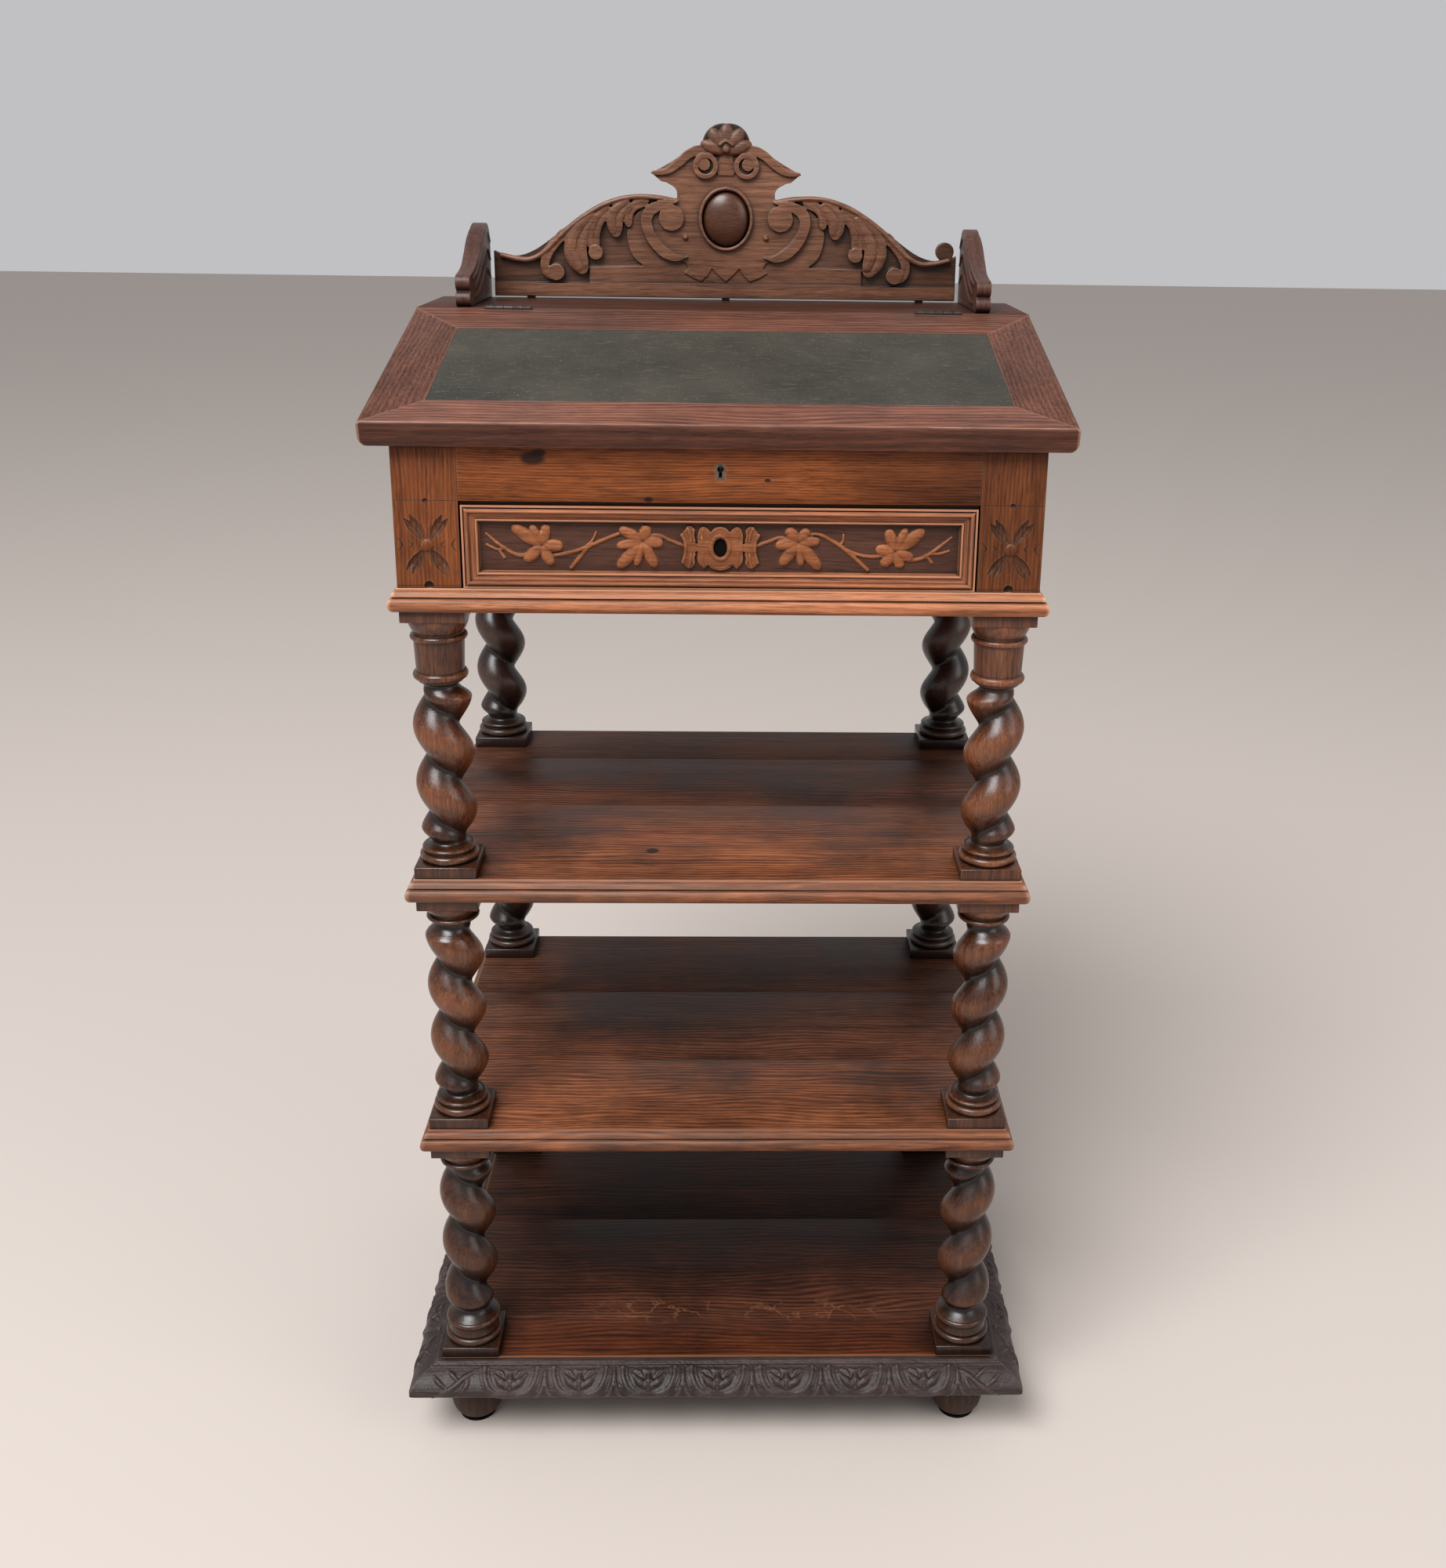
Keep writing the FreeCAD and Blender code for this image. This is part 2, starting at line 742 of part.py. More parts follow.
# Fixed strip behind the lid, its front edge square to the lid
strip_front = hinge_y + dim.hinge_gap * lid_length / lid_run
strip_blank = pad("strip_blank", "YZ_Plane", 2 * lid_half, [
    (strip_front, strip_top),
    (strip_front + dim.strip_thick * slope, strip_underside),
    (back, strip_underside),
    (back, strip_top),
])
place(strip_blank, -lid_half)
node(cut("top_strip", strip_blank, *knuckle_notches("strip_notch", hinge_y, strip_top)), "top_strip")

# Butt hinges: three knuckles on the strip's leaf and two on the lid's, turning on a pin
knuckle_count = 5
knuckle_pitch = dim.hinge_length / knuckle_count


def leaf(name, x, sense, own):
    start = x - dim.hinge_length / 2
    plate_y = dim.hinge_gap - dim.leaf_thick if sense > 0 else -dim.hinge_gap
    plate = box(name + "_plate", dim.hinge_length, dim.leaf_thick, dim.leaf_depth - knuckle_room, start,
                plate_y, -dim.leaf_depth)
    pieces = [plate]
    for number in own:
        left = start + number * knuckle_pitch + dim.knuckle_clearance / 2
        length = knuckle_pitch - dim.knuckle_clearance
        pieces.append(box(f"{name}_tab_{number}", length, dim.leaf_thick, knuckle_room, left, plate_y,
                          -knuckle_room))
        pieces.append(cylinder(f"{name}_knuckle_{number}", dim.knuckle_radius, length, left, 0, 0,
                               Vector(1, 0, 0)))
    bore = cylinder(name + "_bore", dim.pin_radius + dim.pin_clearance, dim.hinge_length, start, 0, 0,
                    Vector(1, 0, 0))
    return cut(name, fuse(name + "_blank", *pieces), bore)


fixed_leaves = [leaf(f"fixed_leaf_{number}", x, 1, (0, 2, 4)) for number, x in enumerate(hinge_centres)]
lid_leaves = [leaf(f"lid_leaf_{number}", x, -1, (1, 3)) for number, x in enumerate(hinge_centres)]
pins = [cylinder(f"hinge_pin_{number}", dim.pin_radius, dim.hinge_length, x - dim.hinge_length / 2, 0, 0,
                 Vector(1, 0, 0)) for number, x in enumerate(hinge_centres)]
node(on_lid(group("hinge_fixed_leaves", *fixed_leaves)), "hinge_fixed_leaves")
node(on_lid(group("hinge_lid_leaves", *lid_leaves)), "hinge_lid_leaves")
node(on_lid(group("hinge_pins", *pins)), "hinge_pins")

# Gallery: a shaped back board standing on pegs between two scrolled brackets
gallery_foot = strip_top + dim.gallery_lift
gallery_end = dim.gallery_width / 2
bracket_inner = gallery_end + dim.bracket_gap
bracket_outer = bracket_inner + dim.bracket_thick


shoulder_end = 0.255
volute_inset = 1.28
volute_lift = 0.45


# points of the gallery's outline as shares of its half width and its height
def gallery_points(*ratios):
    half, rise = gallery_end.number, dim.gallery_height.number
    return [Vector(half * across, 0, rise * up) for across, up in ratios]


def curve(points):
    line = Part.BSplineCurve()
    line.interpolate(points)
    return line.toShape()


def gallery_half():
    corner, end = gallery_points((0, 0), (1, 0))
    shoulder = gallery_points((1, shoulder_end), (0.89, 0.227), (0.70, 0.385), (0.466, 0.565), (0.34, 0.591),
                              (0.2, 0.56))
    neck = gallery_points((0.2, 0.56), (0.215, 0.63), (0.265, 0.668))
    tip = gallery_points((0.325, 0.717))[0]
    crest = gallery_points((0.325, 0.717), (0.277, 0.722), (0.214, 0.78), (0.151, 0.853), (0.101, 0.881))
    shell_side, top = gallery_points((0.085, 0.95), (0, 1))
    edges = [
        Part.makeLine(corner, end),
        Part.makeLine(end, shoulder[0]),
        curve(shoulder),
        curve(neck),
        Part.makeLine(neck[-1], tip),
        curve(crest),
        Part.Arc(crest[-1], shell_side, top).toShape(),
        Part.makeLine(top, corner),
    ]
    face = Part.Face(Part.Wire(edges))
    return face.extrude(Vector(0, -dim.gallery_thick.number, 0))


board = add("Part::Feature", "gallery_outline")
right_half = gallery_half()
board.Shape = right_half.fuse(right_half.mirror(Vector(), Vector(1, 0, 0))).removeSplitter()
place(board, 0, back, gallery_foot)
volute_x = gallery_end - volute_inset * dim.volute_radius
volute_level = shoulder_end * dim.gallery_height + volute_lift * dim.volute_radius
volute = cylinder("gallery_volute", dim.volute_radius, dim.gallery_thick, volute_x, back,
                  gallery_foot + volute_level, Vector(0, -1, 0))
node(fuse("gallery_board", board, volute), "gallery_board")
peg_y = back - (dim.gallery_thick + dim.peg_side) / 2
peg_step = gallery_end - dim.peg_inset
pegs = [box(f"gallery_peg_{number}", dim.peg_side, dim.peg_side, dim.gallery_lift,
            number * peg_step - dim.peg_side / 2, peg_y, strip_top) for number in (-1, 0, 1)]
node(group("gallery_pegs", *pegs), "gallery_pegs")

bracket_front = strip_front + dim.bracket_setback
bracket_run = back - bracket_front
roll_pitch = 2 * dim.bracket_roll
roll_round = arc_radius(roll_pitch, bead_rise * roll_pitch)
roll_inner = bracket_front + bead_rise * roll_pitch
crown = 0.14 * bracket_run
crown_round = 0.15 * bracket_run
knee_y = bracket_front + 0.6 * bracket_run
knee_level = 0.8 * dim.bracket_height
knee_round = 0.5 * bracket_run
hollow_round = 1.1 * bracket_run
bracket_outline = [
    (back, 0),
    (back, dim.bracket_height - crown),
    (back - crown, dim.bracket_height, crown_round, 1),
    (knee_y, knee_level, knee_round, 1),
    (roll_inner, 2 * roll_pitch, hollow_round, -1),
    (roll_inner, roll_pitch, roll_round, 1),
    (roll_inner, 0, roll_round, 1),
]
for hand, sense in (("left", -1), ("right", 1)):
    bracket = pad(f"bracket_{hand}", "YZ_Plane", dim.bracket_thick, bracket_outline)
    node(place(bracket, -bracket_outer if sense < 0 else bracket_inner, 0, strip_top), f"bracket_{hand}")

# Drawer: a moulded front, two sides, a back and a bottom held in grooves
drawer_half = drawer_opening - dim.drawer_clearance
drawer_foot = case_floor_top + dim.drawer_lift
drawer_face = inner_front - dim.drawer_front_thick
drawer_end = inner_front + dim.drawer_length
groove_level = drawer_foot + dim.drawer_bottom_lift
bottom_half = drawer_half - dim.drawer_side_thick + dim.groove_depth
bottom_front = inner_front - dim.groove_depth
bottom_run = drawer_end - bottom_front


def drawer_bottom(name):
    return box(name, 2 * bottom_half, bottom_run, dim.drawer_bottom_thick, -bottom_half, bottom_front,
               groove_level)


def drawer_lock_block(name):
    return box(name, dim.lock_width, dim.drawer_lock_thick, dim.drawer_lock_height, -dim.lock_width / 2,
               inner_front - dim.drawer_lock_thick, drawer_top - dim.drawer_lock_height)


drawer_front_blank = box("drawer_front_blank", 2 * drawer_half, dim.drawer_front_thick, dim.drawer_height,
                         -drawer_half, drawer_face, drawer_foot)
drawer_keyhole = keyhole("drawer_keyhole", dim.keyhole_ease, drawer_face, dim.drawer_front_thick,
                         drawer_foot + dim.drawer_keyhole_rise)
node(cut("drawer_front", drawer_front_blank, drawer_bottom("front_groove"), drawer_lock_block("lock_mortise"),
         *drawer_keyhole), "drawer_front")
for hand, sense in (("left", -1), ("right", 1)):
    x = -drawer_half if sense < 0 else drawer_half - dim.drawer_side_thick
    blank = box(f"drawer_side_{hand}_blank", dim.drawer_side_thick, dim.drawer_length,
                dim.drawer_side_height, x, inner_front, drawer_foot)
    node(cut(f"drawer_side_{hand}", blank, drawer_bottom(f"{hand}_groove")), f"drawer_side_{hand}")
back_level = groove_level + dim.drawer_bottom_thick
node(box("drawer_back", 2 * (drawer_half - dim.drawer_side_thick), dim.drawer_side_thick,
         drawer_foot + dim.drawer_side_height - back_level, dim.drawer_side_thick - drawer_half,
         drawer_end - dim.drawer_side_thick, back_level), "drawer_back")
node(drawer_bottom("drawer_bottom"), "drawer_bottom")
moulding_thick = drawer_face - front + dim.moulding_proud
inner_x = drawer_half - dim.moulding_width
inner_low = drawer_foot + dim.moulding_width
inner_high = drawer_top - dim.moulding_width
moulding = pad("drawer_moulding", "XZ_Plane", moulding_thick,
               [(-drawer_half, drawer_foot), (drawer_half, drawer_foot), (drawer_half, drawer_top),
                (-drawer_half, drawer_top)],
               [(-inner_x, inner_low), (inner_x, inner_low), (inner_x, inner_high), (-inner_x, inner_high)],
               offset=-drawer_face)
moulding_front = (front - dim.moulding_proud).number


def inner_arris(point):
    within = abs(point.x) < inner_x.number + 0.01
    return within and point.y < moulding_front + 0.01


ease(moulding, "Chamfer", "Size", dim.moulding_bevel, dim.moulding_width, inner_arris)
node(moulding, "drawer_moulding")

# Drawer lock in its mortise, with the bolt drawn down
drawer_channel = box("drawer_channel", dim.drawer_bolt_width + bolt_slack, dim.bolt_side + bolt_slack,
                     dim.drawer_channel, -drawer_bolt_half - dim.bolt_clearance,
                     drawer_bolt_y - dim.bolt_side / 2 - dim.bolt_clearance, drawer_top - dim.drawer_channel)
node(cut("drawer_lock", drawer_lock_block("drawer_lock_case"), drawer_channel), "drawer_lock")
node(box("drawer_bolt", dim.drawer_bolt_width, dim.bolt_side, dim.bolt_length, -drawer_bolt_half,
         drawer_bolt_y - dim.bolt_side / 2, drawer_top - dim.bolt_clearance - dim.bolt_length), "drawer_bolt")

# Lid lock behind the rail: a staple under the lid drops into its mouth and the bolt slides through the eye
lid_bolt_y = inner_front + dim.bolt_setback
eye_depth = dim.lid_thick + dim.staple_plate_thick + dim.eye_drop
eye_run = (hinge_y - lid_bolt_y) * lid_length / lid_run + eye_depth * slope
bolt_level = strip_top - (eye_run * dim.lid_drop + eye_depth * lid_run) / lid_length
lock_top = lid_seat(inner_front) - dim.lock_relief
lock_blank = box("lid_lock_blank", dim.lock_width, dim.lid_lock_thick, dim.lid_lock_height,
                 -dim.lock_width / 2, inner_front, lock_top - dim.lid_lock_height)
mouth_floor = bolt_level - dim.staple_drop
mouth = box("lid_lock_mouth", 2 * dim.mouth_half, dim.lid_lock_thick, lock_top - mouth_floor + waste_margin,
            -dim.mouth_half, inner_front + dim.lock_plate, mouth_floor)
bolt_tip = -dim.mouth_half - 2 * dim.bolt_clearance
bolt_tail = bolt_tip - dim.bolt_length
lid_channel = box("lid_lock_channel", dim.bolt_length + dim.bolt_throw + dim.bolt_spare,
                  dim.bolt_side + bolt_slack, dim.bolt_side + bolt_slack, bolt_tail - dim.bolt_spare / 2,
                  lid_bolt_y - dim.bolt_side / 2 - dim.bolt_clearance,
                  bolt_level - dim.bolt_side / 2 - dim.bolt_clearance)
node(cut("lid_lock", lock_blank, mouth, lid_channel), "lid_lock")
node(box("lid_bolt", dim.bolt_length, dim.bolt_side, dim.bolt_side, bolt_tail,
         lid_bolt_y - dim.bolt_side / 2, bolt_level - dim.bolt_side / 2), "lid_bolt")
eye = dim.eye_side
staple_plate = box("staple_plate", dim.staple_plate_length, dim.staple_plate_width, dim.staple_plate_thick,
                   -dim.staple_plate_length / 2, -eye_run - dim.staple_plate_width / 2,
                   -dim.lid_thick - dim.staple_plate_thick)
staple_loop = box("staple_loop", dim.staple_thick, dim.staple_width, dim.staple_drop, -dim.staple_thick / 2,
                  -eye_run - dim.staple_width / 2, -dim.lid_thick - dim.staple_plate_thick - dim.staple_drop)
staple_eye = box("staple_eye", 2 * dim.staple_thick, eye, eye, -dim.staple_thick, -eye_run - eye / 2,
                 -eye_depth - eye / 2)
node(on_lid(cut("lid_staple", fuse("staple_blank", staple_plate, staple_loop), staple_eye)), "lid_staple")

# Every object must have come out sound before any file is written
doc.recompute()
for thing in doc.Objects:
    if "Invalid" in thing.State or "Error" in thing.State:
        raise RuntimeError(f"{thing.Label} did not build: {thing.State}")
for thing in nodes:
    shape = thing.Shape
    if shape.isNull() or not shape.isValid() or not shape.Solids:
        raise RuntimeError(f"{thing.Label} has no sound solid")
for thing in nodes:
    thing.Shape.exportStep(f"parts/{thing.Label}.step")
    print(thing.Label, len(thing.Shape.Solids), round(thing.Shape.Volume))
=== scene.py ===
import math

import bpy
from mathutils import Matrix, Vector


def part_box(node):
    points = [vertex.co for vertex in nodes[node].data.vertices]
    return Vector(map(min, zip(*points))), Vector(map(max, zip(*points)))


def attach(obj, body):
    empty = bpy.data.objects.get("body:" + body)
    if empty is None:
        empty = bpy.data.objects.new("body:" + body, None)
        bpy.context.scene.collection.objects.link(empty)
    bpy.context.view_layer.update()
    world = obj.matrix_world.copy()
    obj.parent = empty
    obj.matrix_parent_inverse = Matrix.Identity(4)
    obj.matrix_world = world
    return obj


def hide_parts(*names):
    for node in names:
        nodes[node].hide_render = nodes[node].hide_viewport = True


# Standing desk in carved oak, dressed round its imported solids. Metres, front towards -Y, floor at 0.
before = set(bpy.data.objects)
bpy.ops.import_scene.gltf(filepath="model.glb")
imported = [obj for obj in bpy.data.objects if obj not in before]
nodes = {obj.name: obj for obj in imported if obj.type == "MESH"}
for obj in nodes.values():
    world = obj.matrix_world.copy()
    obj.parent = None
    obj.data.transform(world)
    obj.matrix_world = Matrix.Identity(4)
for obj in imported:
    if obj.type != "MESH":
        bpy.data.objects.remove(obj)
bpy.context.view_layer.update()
mm = 0.001
print("frame loaded:", len(nodes), "nodes")


# everyday moves

def setMode(mode):
    bpy.ops.object.mode_set(mode=mode)


def deselectAll():
    if bpy.context.object and bpy.context.object.mode != "OBJECT":
        setMode("OBJECT")
    bpy.ops.object.select_all(action="DESELECT")


def pick(*pieces):
    deselectAll()
    for piece in pieces:
        piece.select_set(True)
    bpy.context.view_layer.objects.active = pieces[0]
    return pieces[0]


def applyPlace(piece):
    pick(piece)
    bpy.ops.object.transform_apply(location=True, rotation=True, scale=True)
    return piece


def applyModifier(piece, kind, **settings):
    pick(piece)
    modifier = piece.modifiers.new(kind.title(), kind)
    for key, value in settings.items():
        setattr(modifier, key, value)
    bpy.ops.object.modifier_apply(modifier=modifier.name)
    return piece


def easeEdges(piece, width, angle=30):
    # a small bevel on each arris that is sharper than the angle
    return applyModifier(piece, "BEVEL", width=width * mm, segments=2, limit_method="ANGLE",
                         angle_limit=math.radians(angle))


def cutAway(piece, cutter):
    return applyModifier(piece, "BOOLEAN", operation="DIFFERENCE", object=cutter, solver="EXACT")


def joinAll(pieces, name):
    joined = pick(*pieces)
    if len(pieces) > 1:
        bpy.ops.object.join()
    joined.name = name
    return applyPlace(joined)


def copyOf(piece, name):
    twin = bpy.data.objects.new(name, piece.data.copy())
    bpy.context.collection.objects.link(twin)
    return twin


def editAll(piece):
    pick(piece)
    setMode("EDIT")
    bpy.ops.mesh.select_all(action="SELECT")


def closeUp(piece):
    # merges doubles, closes open ends and points every face outwards
    editAll(piece)
    bpy.ops.mesh.remove_doubles(threshold=0.01 * mm)
    bpy.ops.mesh.fill_holes(sides=0)
    bpy.ops.mesh.select_all(action="SELECT")
    bpy.ops.mesh.normals_make_consistent(inside=False)
    setMode("OBJECT")
    return piece


def copyNode(node, name):
    # a CAD node's loose triangles merged into a clean copy with whole faces
    twin = copyOf(nodes[node], name)
    editAll(twin)
    bpy.ops.mesh.remove_doubles(threshold=0.005 * mm)
    bpy.ops.mesh.dissolve_limited(angle_limit=math.radians(0.5))
    setMode("OBJECT")
    return twin


def flipAcross(piece):
    # turns a left-hand piece into its right-hand twin
    editAll(piece)
    bpy.ops.transform.resize(value=(-1, 1, 1), center_override=(0, 0, 0))
    bpy.ops.mesh.normals_make_consistent(inside=False)
    setMode("OBJECT")
    return piece


def standAt(piece, low, high):
    # moves a piece that was modelled about the origin to the middle of a node's box
    piece.location = ((low.x + high.x) / 2 * mm, (low.y + high.y) / 2 * mm, 0)
    return applyPlace(piece)


def block(name, low, high, bevel):
    # a board sawn to its corners, in mm, with eased arrises or with sharp ones
    deselectAll()
    middle = [(a + b) / 2 * mm for a, b in zip(low, high)]
    size = [(b - a) * mm for a, b in zip(low, high)]
    bpy.ops.mesh.primitive_cube_add(size=1, location=middle, scale=size)
    board = applyPlace(bpy.context.object)
    board.name = name
    return easeEdges(board, bevel) if bevel else board


def seat(piece, body, slotName, finish, *replaced, sharp=38):
    # finish, shading, and the body that the piece belongs to; the slot is not set
    piece.data.materials.clear()
    piece.data.materials.append(finish)
    pick(piece)
    bpy.ops.object.shade_smooth_by_angle(angle=math.radians(sharp))
    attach(piece, body)
    if replaced:
        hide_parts(*replaced)
    return piece


def paintFaces(piece, finish, chosen):
    # one more finish, on some of a seated piece's faces
    piece.data.materials.append(finish)
    last = len(piece.data.materials) - 1
    for face in piece.data.polygons:
        if chosen(face.center / mm, face.normal):
            face.material_index = last


def paintNode(finish, *names):
    for name in names:
        nodes[name].data.materials.clear()
        nodes[name].data.materials.append(finish)


def boxMm(node):
    low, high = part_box(node)
    return low / mm, high / mm


# finishes

def feed(tree, node, values):
    # links a value that is another node's output, and sets any other
    for key, value in values.items():
        if isinstance(value, bpy.types.NodeSocket):
            tree.links.new(value, node.inputs[key])
        else:
            node.inputs[key].default_value = value
    return node


def addNode(tree, kind, values=None, **settings):
    node = tree.nodes.new("ShaderNode" + kind)
    for key, value in settings.items():
        setattr(node, key, value)
    return feed(tree, node, values or {})


def newFinish(name):
    material = bpy.data.materials.new(name)
    material.use_nodes = True
    tree = material.node_tree
    return material, tree, tree.nodes["Principled BSDF"]


def mixColours(tree, blend, factor, first, second):
    values = {0: factor}
    for key, colour in ((6, first), (7, second)):
        values[key] = colour if isinstance(colour, bpy.types.NodeSocket) else (*colour, 1)
    return addNode(tree, "Mix", values, data_type="RGBA", blend_type=blend).outputs[2]


def mapRange(tree, value, low, high, toLow, toHigh):
    return addNode(tree, "MapRange", {"Value": value, "From Min": low, "From Max": high, "To Min": toLow,
                                      "To Max": toHigh}).outputs["Result"]


def maths(tree, operation, *values):
    return addNode(tree, "Math", dict(enumerate(values)), operation=operation).outputs[0]


def ramp(tree, value, *stops):
    node = addNode(tree, "ValToRGB", {"Fac": value})
    while len(node.color_ramp.elements) < len(stops):
        node.color_ramp.elements.new(0.5)
    for element, (position, colour) in zip(node.color_ramp.elements, stops):
        element.position = position
        element.color = (*colour, 1)
    return node.outputs["Color"]


def mapped(tree, coords, **values):
    return addNode(tree, "Mapping", {"Vector": coords, **values}).outputs["Vector"]


def noiseOf(tree, coords, scale, detail=2.0, roughness=0.5, output="Fac"):
    values = {"Vector": mapped(tree, coords, Scale=scale), "Scale": 1.0, "Detail": detail,
              "Roughness": roughness}
    return addNode(tree, "TexNoise", values).outputs[output]


def roundSpot(tree, coords, centre, half):
    # 1 in the middle of an oval spot and 0 from its edge on, centre and half sizes in mm
    moved = mapped(tree, coords, Location=[-c / h for c, h in zip(centre, half)],
                   Scale=[1 / (h * mm) for h in half])
    return addNode(tree, "TexGradient", {"Vector": moved}, gradient_type="SPHERICAL").outputs["Fac"]


def bumpOver(tree, height, strength, depth, under=None):
    values = {"Height": height, "Strength": strength, "Distance": depth * mm}
    if under:
        values["Normal"] = under
    return addNode(tree, "Bump", values).outputs["Normal"]


def weigh(tree, *terms):
    # adds noises round their middle, each by its weight
    total = 0.5 - 0.5 * sum(weight for noise, weight in terms)
    for noise, weight in terms:
        total = maths(tree, "MULTIPLY_ADD", noise, weight, total)
    return total


# which way the grain runs, as the turn that lays it along X
grainTurn = {"x": (0, 0, 0), "y": (0, 0, -math.pi / 2), "z": (0, math.pi / 2, 0)}

# stretch along and across the grain, detail and roughness of each noise in the wood
grainNoise = {"streaks": ((9, 290, 290), 4.0, 0.68), "fibres": ((40, 950, 950), 2.0, 0.65),
              "bands": ((2.4, 46, 46), 3.0, 0.6), "pores": ((24, 680, 680), 2.0, 0.6)}

oakLook = {
    "grain": "x",        # axis the grain runs along
    "across": "Z",       # axis the growth lines step along once the grain lies on X
    "ring": 9,           # mm between growth lines
    "wander": 7,         # how far the lines sway
    "flow": 0.16,        # how soon they sway
    "lines": 0.25,       # how plainly the growth lines show
    "streaks": 1.0,      # how plainly the fine streaks show
    "bands": 0.7,        # how plainly the broad bands show
    # dark, middle and light wood
    "tones": ((0.075, 0.020, 0.006), (0.165, 0.048, 0.014), (0.26, 0.085, 0.026)),
    "worn": (0.34, 0.16, 0.08),      # tone of rubbed wood and of painted highlight
    # tone of the dust and painted shade in corners, creases and under the shelves
    "dirt": (0.010, 0.005, 0.003),
    "wear": 0.5,         # how plainly the rubbed edges and their painted highlight show
    "rub": 2.5,          # mm that the rubbing and painted highlight spread from an arris
    "ridges": False,     # rubbed and painted highlight on carved ridges instead
    "grime": 0.9,        # how plainly dust and painted shade in corners show
    "reach": 12,         # mm that the corner dust and painted shade spread
    "deep": (0.2, 0.9),  # how open a corner is where the dust and painted shade are full, and where they end
    "gloss": 0.50,       # roughness
    "shine": 0.22,       # how much the surface mirrors
    "pores": 0.55,       # how plainly the pores show
    "patch": 0.35,       # slow changes of tone
    "fades": (),         # axis, where a fade starts and ends, and the tone it leaves
    "relief": None,      # how far creases are darkened and ridges lightened, painted shade and highlight over the patina, on a piece that holds its own relief
    "rim": None,         # half width and front y of a board rubbed and given painted highlight at its edges alone, and how far in
    "knots": (),         # x, y, z and size
    "scuffs": (),        # x, y and half sizes of scratched patches on a flat board
    "chips": 0.0,        # how pitted the surface is
}


def rubbedShare(tree, look, split, patches):
    # pale where hands rub, with painted highlight: on carved ridges, or on the arrises of boards
    wear = look["wear"]
    if look["relief"]:
        height = addNode(tree, "Attribute", attribute_name="relief").outputs["Fac"]
        rubbed = mapRange(tree, weigh(tree, (height, 1.0), (patches, 0.6)), 0.80, 1.10, 0.0, wear)
    elif look["ridges"]:
        pointed = addNode(tree, "NewGeometry").outputs["Pointiness"]
        rubbed = mapRange(tree, pointed, 0.51, 0.60, 0.0, wear)
    else:
        arris = addNode(tree, "AmbientOcclusion", {"Distance": look["rub"] * mm}, samples=5, inside=True)
        broken = weigh(tree, (arris.outputs["AO"], 1.0), (patches, 0.25))
        rubbed = mapRange(tree, broken, 0.90, 0.62, 0.0, wear)
    if look["rim"]:
        half, front, wide = look["rim"]
        aside = maths(tree, "ABSOLUTE", split.outputs["X"])
        near = maths(tree, "MAXIMUM", mapRange(tree, aside, (half - wide) * mm, half * mm, 0.0, 1.0),
                     mapRange(tree, split.outputs["Y"], front * mm, (front + wide) * mm, 1.0, 0.0))
        rubbed = maths(tree, "MULTIPLY", rubbed, near)
    return rubbed


